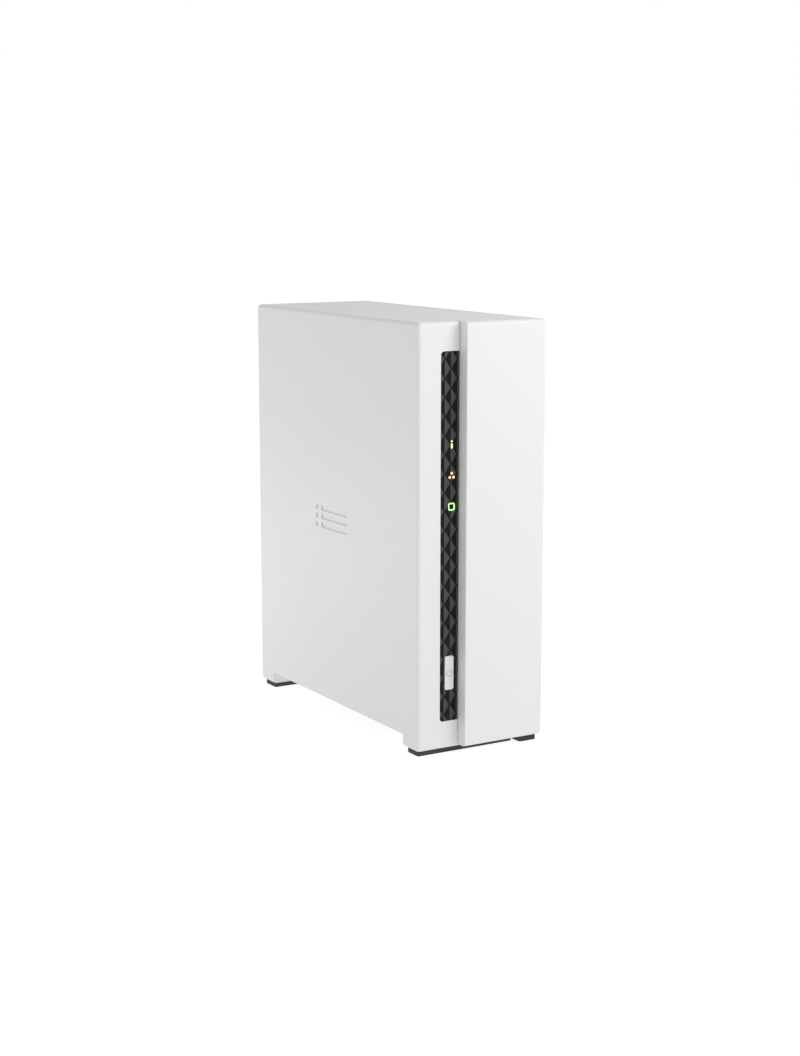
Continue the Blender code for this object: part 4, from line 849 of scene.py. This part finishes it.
def rear_symbols():
    """Small printed signs beside the rear sockets: a network, direct current and a reset arrow."""
    print_y = (REAR_WALL_Y - 0.1, REAR_WALL_Y + 0.04)
    bm = bmesh.new()
    z = middle("lan_socket").z
    for x, rise in ((0.0, 1.4), (-1.6, -1.4), (1.6, -1.4)):
        outer = rounded(about(SYMBOL_X + x, 0.8), about(z + rise, 0.7), 0.15)
        inner = rounded(about(SYMBOL_X + x, 0.55), about(z + rise, 0.45), 0.05)
        add_frame(bm, outer, inner, *print_y, "y")
    add_box(bm, about(SYMBOL_X, 1.7), print_y, about(z, 0.12))
    for x, low, high in ((0.0, 0.0, 0.75), (-1.6, -0.75, 0.0), (1.6, -0.75, 0.0)):
        add_box(bm, about(SYMBOL_X + x, 0.12), print_y, (z + low, z + high))

    z = middle("power_inlet").z
    add_box(bm, about(SYMBOL_X, 1.8), print_y, about(z + 0.5, 0.17))
    for x in (-1.35, 0.0, 1.35):
        add_box(bm, about(SYMBOL_X + x, 0.45), print_y, about(z - 0.5, 0.17))

    centre = (-16.0, middle("reset_plunger").z)
    add_prism(bm, arc_band(centre, 1.0, 1.3, 60, 350, 28), *print_y, "y")
    tip = [(centre[0] + u, centre[1] + v) for u, v in ((0.5, 0.0), (1.8, 0.0), (1.15, 0.9))]
    add_prism(bm, tip, *print_y, "y")
    add_piece("rear_symbols", bm, "base", "white_shell", [PRINT.material])


# ---------------------------------------------------------------- fan

FAN_HUB_BACK = 73.9
STICKER_RADIUS = 9.6
WIRE_COLOURS = (
    ("wire_black", grey(0.012)),
    ("wire_red", (0.42, 0.015, 0.012)),
    ("wire_yellow", (0.62, 0.44, 0.02)),
)
WIRE_RADIUS = 0.47
WIRE_SPREAD = 0.56
WIRE_TWISTS = 1.5
WIRE_POINTS = 40
PLUG_Y = (49.5, 54.5)
PLUG_Z = (88.6, 96.4)


def fan_sticker():
    """A blank silver sticker with a printed ring, on the middle of the fan's frame."""
    centre = middle("fan_frame")
    silver = metal("sticker_silver", (0.22, 0.22, 0.23), (0.27, 0.27, 0.28), (0.40, 0.50))
    bm = bmesh.new()
    disc = ((0.0, -0.05), (STICKER_RADIUS, -0.05), (STICKER_RADIUS, 0.08),
            (STICKER_RADIUS - 0.1, 0.1), (0.0, 0.1))
    add_lathe(bm, disc, (centre.x, FAN_HUB_BACK, centre.z), "y", 48)
    for radius in (8.6, 4.0):
        band = ((radius, 0.05), (radius, 0.13), (radius + 0.3, 0.13), (radius + 0.3, 0.05))
        add_lathe(bm, band, (centre.x, FAN_HUB_BACK, centre.z), "y", 48, 1, ring=True)
    add_piece("fan_sticker", bm, "base", "can", [silver.material, PRINT.material])


def fan_wires():
    """Three twisted wires from the fan to its plug, along the lead's own route."""
    start = Vector((-15.0, middle("fan_frame").y - 3.0, span("fan_frame", 2)[0] - 0.3))
    end = Vector((-18.0, sum(PLUG_Y) / 2, sum(PLUG_Z) / 2))
    handles = (start - Vector((0.0, 0.0, 16.0)), end + Vector((9.0, 0.0, 0.0)))
    route = geometry.interpolate_bezier(start, *handles, end, WIRE_POINTS)
    bm = bmesh.new()
    for number in range(len(WIRE_COLOURS)):
        strand = []
        for i, point in enumerate(route):
            ahead = heading(route, i)
            side = ahead.cross(Vector((0.0, 1.0, 0.2))).normalized()
            angle = math.tau * (number / len(WIRE_COLOURS) + WIRE_TWISTS * i / (WIRE_POINTS - 1))
            around = math.cos(angle) * side + math.sin(angle) * ahead.cross(side)
            strand.append(point + WIRE_SPREAD * around)
        add_wire(bm, strand, WIRE_RADIUS, 10, number)
    sheaths = [moulded(name, colour, tuple(1.3 * part for part in colour), (0.35, 0.45)).material
               for name, colour in WIRE_COLOURS]
    wires = add_piece("fan_wires", bm, "base", "lead", sheaths)
    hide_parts("fan_lead")

    header_x = span("fan_header", 0)[1]
    bm = bmesh.new()
    add_prism(bm, rounded(PLUG_Y, PLUG_Z, 0.5), header_x, header_x + 3.6, "x")
    rib_y = (PLUG_Y[0] - 0.6, PLUG_Y[0] + 0.1)
    for offset in (-2.5, 0.0, 2.5):
        rib_z = about(sum(PLUG_Z) / 2 + offset, 0.5)
        add_prism(bm, rounded(rib_y, rib_z, 0.1), header_x + 0.4, header_x + 3.2, "x")
    add_piece("fan_plug", bm, "base", "white_plastic", bevel=0.2)


# ---------------------------------------------------------------- disk

# Places on the lid are (Y, Z), and spans are (low, high) along Y and then Z
ARM_PIVOT = (27.0, 72.0)
BREATHER = (-30.0, 50.0)
LID_SCREWS = tuple((y, z) for z in (33.0, 101.0, 170.0) for y in (-47.0, 44.6))
LID_FIELD = ((-43.0, 40.6), (37.0, 166.0))
LID_FIELD_RISE = 0.5
LABEL = ((-38.0, 35.6), (88.0, 161.0))
LABEL_BAND = ((-36.5, 34.1), (148.0, 159.5))
LABEL_FIELDS = (
    ((-36.5, -3.0), (122.0, 145.0)),
    ((0.0, 34.1), (122.0, 145.0)),
    ((-36.5, 34.1), (92.0, 119.0)),
)


def disk_lid_relief():
    """Pressed field and rings of the disk's lid, with its edge screws, pivot cap and breather."""
    face_x = span("disk_lid", 0)[1]
    bm = bmesh.new()
    field_x = face_x + LID_FIELD_RISE
    add_prism(bm, rounded(*LID_FIELD, 9.0, 8), face_x - 0.3, field_x, "x")
    add_piece("lid_field", bm, "disk", "disk_lid", bevel=0.35, segments=3)

    bm = bmesh.new()
    cap = ((0.0, -0.2), (5.2, -0.2), (5.2, 0.35), (4.9, 0.6), (0.0, 0.6))
    add_lathe(bm, cap, (field_x, *ARM_PIVOT), "x", 40)
    groove = ((8.4, -0.2), (8.4, 0.2), (8.8, 0.3), (9.6, 0.3), (10.0, 0.2), (10.0, -0.2))
    add_lathe(bm, groove, (field_x, *ARM_PIVOT), "x", 48, ring=True)
    small = [(0.4 * radius, height) for radius, height in groove]
    add_lathe(bm, small, (field_x, *BREATHER), "x", 32, ring=True)
    add_piece("lid_pressings", bm, "disk", "disk_lid")

    bm = bmesh.new()
    head = ((0.0, -0.1), (2.3, -0.1), (2.3, 0.4), (1.9, 0.7), (1.2, 0.75), (1.2, 0.3), (0.0, 0.3))
    for y, z in LID_SCREWS:
        add_lathe(bm, head, (face_x, y, z), "x", 24)
        add_cross(bm, facing((face_x + 0.7, y, z), "x"), 1.22, 0.35)
    add_cross(bm, facing((face_x + 1.16, *ARM_PIVOT), "x"), 2.0, 0.06)
    add_piece("lid_screws", bm, "disk", "screw")


def disk_label():
    """A blank label over the platters, with a plain band and empty fields."""
    paper = moulded("label_paper", (0.66, 0.66, 0.65), (0.70, 0.70, 0.69), (0.34, 0.42), 5.0, 0.004)
    band = moulded("label_band", (0.03, 0.16, 0.30), (0.035, 0.19, 0.34), (0.34, 0.42), 5.0, 0.004)
    field_x = span("disk_lid", 0)[1] + LID_FIELD_RISE
    print_x = (field_x + 0.05, field_x + 0.14)
    bm = bmesh.new()
    add_prism(bm, rounded(*LABEL, 2.5), *about(field_x, 0.1), "x")
    add_prism(bm, rounded(*LABEL_BAND, 1.5), *print_x, "x", 1)
    for y, z in LABEL_FIELDS:
        add_frame(bm, rounded(y, z, 1.0), rounded(grown(y, -0.3), grown(z, -0.3), 0.7), *print_x, "x", 2)
    add_piece("disk_label", bm, "disk", "disk_lid", [paper.material, band.material, PRINT.material])


# ---------------------------------------------------------------- boards

BOARD_FACE = -23.6
TIN = metal("solder_tin", (0.50, 0.50, 0.50), (0.62, 0.62, 0.61), (0.26, 0.38))
CERAMIC = moulded("ceramic_tan", (0.30, 0.21, 0.13), (0.36, 0.26, 0.17), (0.40, 0.55))
# Flat packages by name: their (Y, Z) middle, their half sizes and their height
PACKAGES = {
    "controller_chip": ((-14.0, 38.0), (4.5, 4.5), 1.1),
    "interface_chip": ((12.0, 36.0), (3.5, 3.5), 1.0),
    "flash_chip": ((-24.0, 92.0), (2.6, 2.0), 1.6),
    "regulator_chip": ((30.0, 98.0), (2.4, 2.0), 1.6),
}
COILS = ((8.0, 97.0), (40.0, 94.0), (56.0, 24.0))
COIL_HALF = 3.0
COIL_HEIGHT = 2.6
PIN_POSTS = ((-50.0, 19.0), (46.0, 106.0))
LEAD_PITCH = 0.9
LEAD_THICK = 0.15
LEAD_REACH = 0.6
SMALL_PARTS = 110
MOST_TRIES = 4000
SMALL_HALF = (0.4, 0.8)
SMALL_SPACE = 0.45
PRINTED_ROUND = ("memory_chip", "network_transformer", "fan_header", "board_link_header", "capacitor",
                 "battery_holder", "buzzer")
LED_HEIGHTS = (136.4, 122.8, RING_Z)
LED_BACK_Y = -61.62
LED_FACE_Y = -62.72


def add_leads(bm, centre, half, height, side_axis):
    """Gull-wing leads along two opposite edges of a package."""
    along = 1 - side_axis
    count = int((2 * half[along] - 0.8) / LEAD_PITCH)
    shoulder = 0.45 * height
    for edge in (-1, 1):
        inner = centre[side_axis] + edge * (half[side_axis] - 0.1)
        knee = inner + edge * LEAD_REACH
        toe = knee + edge * LEAD_REACH
        for i in range(count + 1):
            width = about(centre[along] + (i - count / 2) * LEAD_PITCH, 0.2)
            for start, end, low, high in (
                (inner, knee, shoulder, shoulder + LEAD_THICK),
                (knee - edge * LEAD_THICK, knee, 0.0, shoulder + LEAD_THICK),
                (knee, toe, 0.0, LEAD_THICK),
            ):
                spans = [width, width]
                spans[side_axis] = (min(start, end), max(start, end))
                add_box(bm, (BOARD_FACE + low, BOARD_FACE + high), *spans)


def board_packages():
    """Leaded chips and power coils, beside those of the CAD model."""
    bodies, leads = bmesh.new(), bmesh.new()
    for centre, half, height in PACKAGES.values():
        y, z = (about(centre[axis], half[axis]) for axis in (0, 1))
        add_prism(bodies, rounded(y, z, 0.3, 2), BOARD_FACE + 0.12, BOARD_FACE + height, "x")
        add_rod(bodies, (BOARD_FACE + height, y[0] + 0.9, z[1] - 0.9), 0.35, 0.06, "x", 16)
        add_leads(leads, centre, half, height, 0)
        if half[0] == half[1]:
            add_leads(leads, centre, half, height, 1)
    transformer = middle("network_transformer")
    ends = [span("network_transformer", axis) for axis in (1, 2)]
    halves = [(high - low) / 2 for low, high in ends]
    add_leads(leads, (transformer.y, transformer.z), halves, 2.0, 0)
    coil_top = BOARD_FACE + COIL_HEIGHT
    for y, z in COILS:
        outline = rounded(about(y, COIL_HALF), about(z, COIL_HALF), 0.8)
        add_prism(bodies, outline, BOARD_FACE, coil_top, "x")
        add_rod(bodies, (coil_top, y, z), 2.2, 0.5, "x", 32, soft=0.15)
    add_piece("board_packages", bodies, "base", "chip", bevel=0.08)
    add_piece("board_leads", leads, "base", "socket_metal", [TIN.material])


def board_obstacles():
    """The (Y, Z) rectangles on the main board that other parts stand on."""
    found = []
    for name in NODES:
        low_x, high_x = span(name, 0)
        if name != "main_board" and -29.0 < low_x < BOARD_FACE + 2.0 and high_x < -9.0:
            found.append([grown(span(name, axis), 0.9) for axis in (1, 2)])
    parts = [(centre, half) for centre, half, _ in PACKAGES.values()]
    parts += [(centre, (COIL_HALF, COIL_HALF)) for centre in COILS]
    parts += [(centre, (2.0, 2.0)) for centre in PIN_POSTS]
    for centre, half in parts:
        found.append([about(centre[i], half[i] + 2.2) for i in (0, 1)])
    return found


def meets(first, second):
    """True where two (Y, Z) rectangles overlap."""
    return all(a[0] < b[1] and b[0] < a[1] for a, b in zip(first, second))


def board_small_parts():
    """Resistors and ceramic capacitors at random places, wherever the board is free."""
    random.seed(11)
    taken = board_obstacles()
    board_y, board_z = (grown(span("main_board", axis), -2.0) for axis in (1, 2))
    bm = bmesh.new()
    placed = 0
    for _ in range(MOST_TRIES):
        if placed >= SMALL_PARTS:
            break
        place = (random.uniform(*board_y), random.uniform(*board_z))
        upright = random.random() < 0.5
        ceramic = random.random() < 0.55
        half = SMALL_HALF if upright else SMALL_HALF[::-1]
        spans = [about(place[i], half[i]) for i in (0, 1)]
        if any(meets(spans, other) for other in taken):
            continue
        taken.append([grown(pair, SMALL_SPACE) for pair in spans])
        placed += 1
        top = BOARD_FACE + (0.75 if ceramic else 0.45)
        body = [grown(pair, -0.05) for pair in spans]
        add_box(bm, (BOARD_FACE, top - 0.04), *body, 1 if ceramic else 2)
        axis = 1 if upright else 0
        for end in (-1, 1):
            cap = list(spans)
            cap[axis] = about(place[axis] + end * (half[axis] - 0.15), 0.18)
            add_box(bm, (BOARD_FACE, top), *cap)
    add_piece("board_small_parts", bm, "base", "chip", [TIN.material, CERAMIC.material, MATERIALS["chip"]])


def board_print():
    """White outlines that the board's print draws round its larger parts."""
    bm = bmesh.new()
    for name in PRINTED_ROUND:
        y, z = span(name, 1), span(name, 2)
        outer = rounded(grown(y, 1.9), grown(z, 0.9), 0.4, 2)
        inner = rounded(grown(y, 1.7), grown(z, 0.7), 0.25, 2)
        add_frame(bm, outer, inner, BOARD_FACE - 0.02, BOARD_FACE + 0.03, "x")
    white = moulded("board_ink", (0.66, 0.66, 0.64), (0.72, 0.72, 0.70), (0.5, 0.6))
    add_piece("board_print", bm, "base", "circuit_board", [white.material])


def led_bodies():
    """White bodies with yellow domes over the light board's three LEDs."""
    dome = moulded("led_phosphor", (0.72, 0.62, 0.18), (0.78, 0.68, 0.24), (0.25, 0.35))
    bm = bmesh.new()
    for z in LED_HEIGHTS:
        add_box(bm, about(LIGHT_X, 1.45), (LED_FACE_Y, LED_BACK_Y), about(z, 1.05))
        add_rod(bm, (LIGHT_X, LED_FACE_Y + 0.02, z), 0.7, 0.3, "y", 20, 1, 0.1)
    add_piece("led_bodies", bm, "base", "white_plastic", [MATERIALS["white_plastic"], dome.material])


# ---------------------------------------------------------------- underside

TRAY_UNDERSIDE = 7.8
RATING_LABEL = ((-28.0, -7.5), (-34.0, 38.0))


def rating_label():
    """A blank silver label with a thin border, on the underside beside the intake slots."""
    silver = metal("label_silver", (0.60, 0.60, 0.61), (0.66, 0.66, 0.67), (0.40, 0.48))
    bm = bmesh.new()
    add_prism(bm, rounded(*RATING_LABEL, 2.0), TRAY_UNDERSIDE - 0.12, TRAY_UNDERSIDE + 0.05, "z")
    outer, inner = (rounded(*(grown(pair, -inset) for pair in RATING_LABEL), corner)
                    for inset, corner in ((1.0, 1.2), (1.25, 1.0)))
    add_frame(bm, outer, inner, TRAY_UNDERSIDE - 0.15, TRAY_UNDERSIDE - 0.08, "z", 1)
    add_piece("rating_label", bm, "base", "white_shell", [silver.material, PRINT.material])


# ---------------------------------------------------------------- floor, light and camera

FLOOR_HALF = 30000.0
FLOOR_GLOW = 0.80
SURROUND = 0.68
# Lamps: places, targets and sizes in metres, and power in watts
KEY = {"place": (0.25, -0.42, 0.45), "target": (0.0, 0.0, 0.09), "size": 0.3, "power": 1.4}
FILL = {"place": (-0.17, 0.21, 0.03), "target": (0.0, 0.07, 0.04), "size": 0.08, "power": 0.08}

# The photograph's view: azimuth and elevation in degrees, then millimetres
VIEW_AZIMUTH = -30.82
VIEW_ELEVATION = 10.17
VIEW_DISTANCE = 879.7
VIEW_CENTRE = (0.0, 0.0, 94.3)
# How far the picture's middle is from that centre, to the right and up
VIEW_SHIFT = (-2.89, 6.54)
FOCAL_LENGTH = 64.3
SENSOR = 36.0


def make_floor():
    """A pale floor with a faint glow, so that it is as plain as the photograph's ground."""
    bm = bmesh.new()
    bmesh.ops.create_grid(bm, x_segments=1, y_segments=1, size=FLOOR_HALF)
    floor = object_from("floor", bm)
    look = Look("floor_paper", grey(0.3), 0.9, Emission_Color=(*grey(1.0), 1.0),
                Emission_Strength=FLOOR_GLOW)
    look.colour(look.noise(0.004, 2.0), grey(0.295), grey(0.305))
    floor.data.materials.append(look.material)


def area_light(name, place, target, size, power):
    """A square lamp that points at its target and isn't seen itself."""
    data = bpy.data.lights.new(name, "AREA")
    data.shape = "SQUARE"
    data.size = size
    data.energy = power
    light = in_scene(name, data)
    light.visible_camera = False
    light.location = place
    light.rotation_euler = (Vector(target) - Vector(place)).to_track_quat("-Z", "Y").to_euler()


def make_light():
    """Soft even light from all round, a key from above at the front right and a low fill at the rear.

    The camera sees the surroundings as plain white, whatever light they give.
    """
    world = bpy.data.worlds.new("studio")
    SCENE.world = world
    world.use_nodes = True
    tree = world.node_tree
    surround = tree.nodes["Background"]
    backdrop = tree.nodes.new("ShaderNodeBackground")
    for background, strength in ((surround, SURROUND), (backdrop, 1.0)):
        background.inputs["Color"].default_value = (*grey(1.0), 1.0)
        background.inputs["Strength"].default_value = strength
    seen = tree.nodes.new("ShaderNodeLightPath")
    choose = tree.nodes.new("ShaderNodeMixShader")
    tree.links.new(seen.outputs["Is Camera Ray"], choose.inputs[0])
    tree.links.new(surround.outputs[0], choose.inputs[1])
    tree.links.new(backdrop.outputs[0], choose.inputs[2])
    tree.links.new(choose.outputs[0], tree.nodes["World Output"].inputs["Surface"])
    area_light("key", **KEY)
    area_light("fill", **FILL)
    SCENE.view_settings.view_transform = "Standard"


def make_camera():
    """A camera that looks from the front left and a little from above."""
    data = bpy.data.cameras.new("camera")
    data.lens = FOCAL_LENGTH
    data.sensor_width = SENSOR
    data.clip_start = 0.01
    data.clip_end = 100.0
    camera = in_scene("camera", data)
    turn, tilt = math.radians(VIEW_AZIMUTH), math.radians(VIEW_ELEVATION)
    back = Vector((math.sin(turn) * math.cos(tilt), -math.cos(turn) * math.cos(tilt), math.sin(tilt)))
    right = Vector((math.cos(turn), math.sin(turn), 0.0))
    up = back.cross(right)
    place = Vector(VIEW_CENTRE) - right * VIEW_SHIFT[0] - up * VIEW_SHIFT[1] + back * VIEW_DISTANCE
    camera.matrix_world = Matrix.Translation(place * MM) @ Matrix((right, up, back)).transposed().to_4x4()
    SCENE.camera = camera


dress_nodes()
front_strip()
lights()
power_button()
screw_crosses()
network_socket()
usb_sockets()
power_socket()
rear_symbols()
fan_sticker()
fan_wires()
disk_lid_relief()
disk_label()
board_packages()
board_small_parts()
board_print()
led_bodies()
rating_label()
make_floor()
make_light()
make_camera()
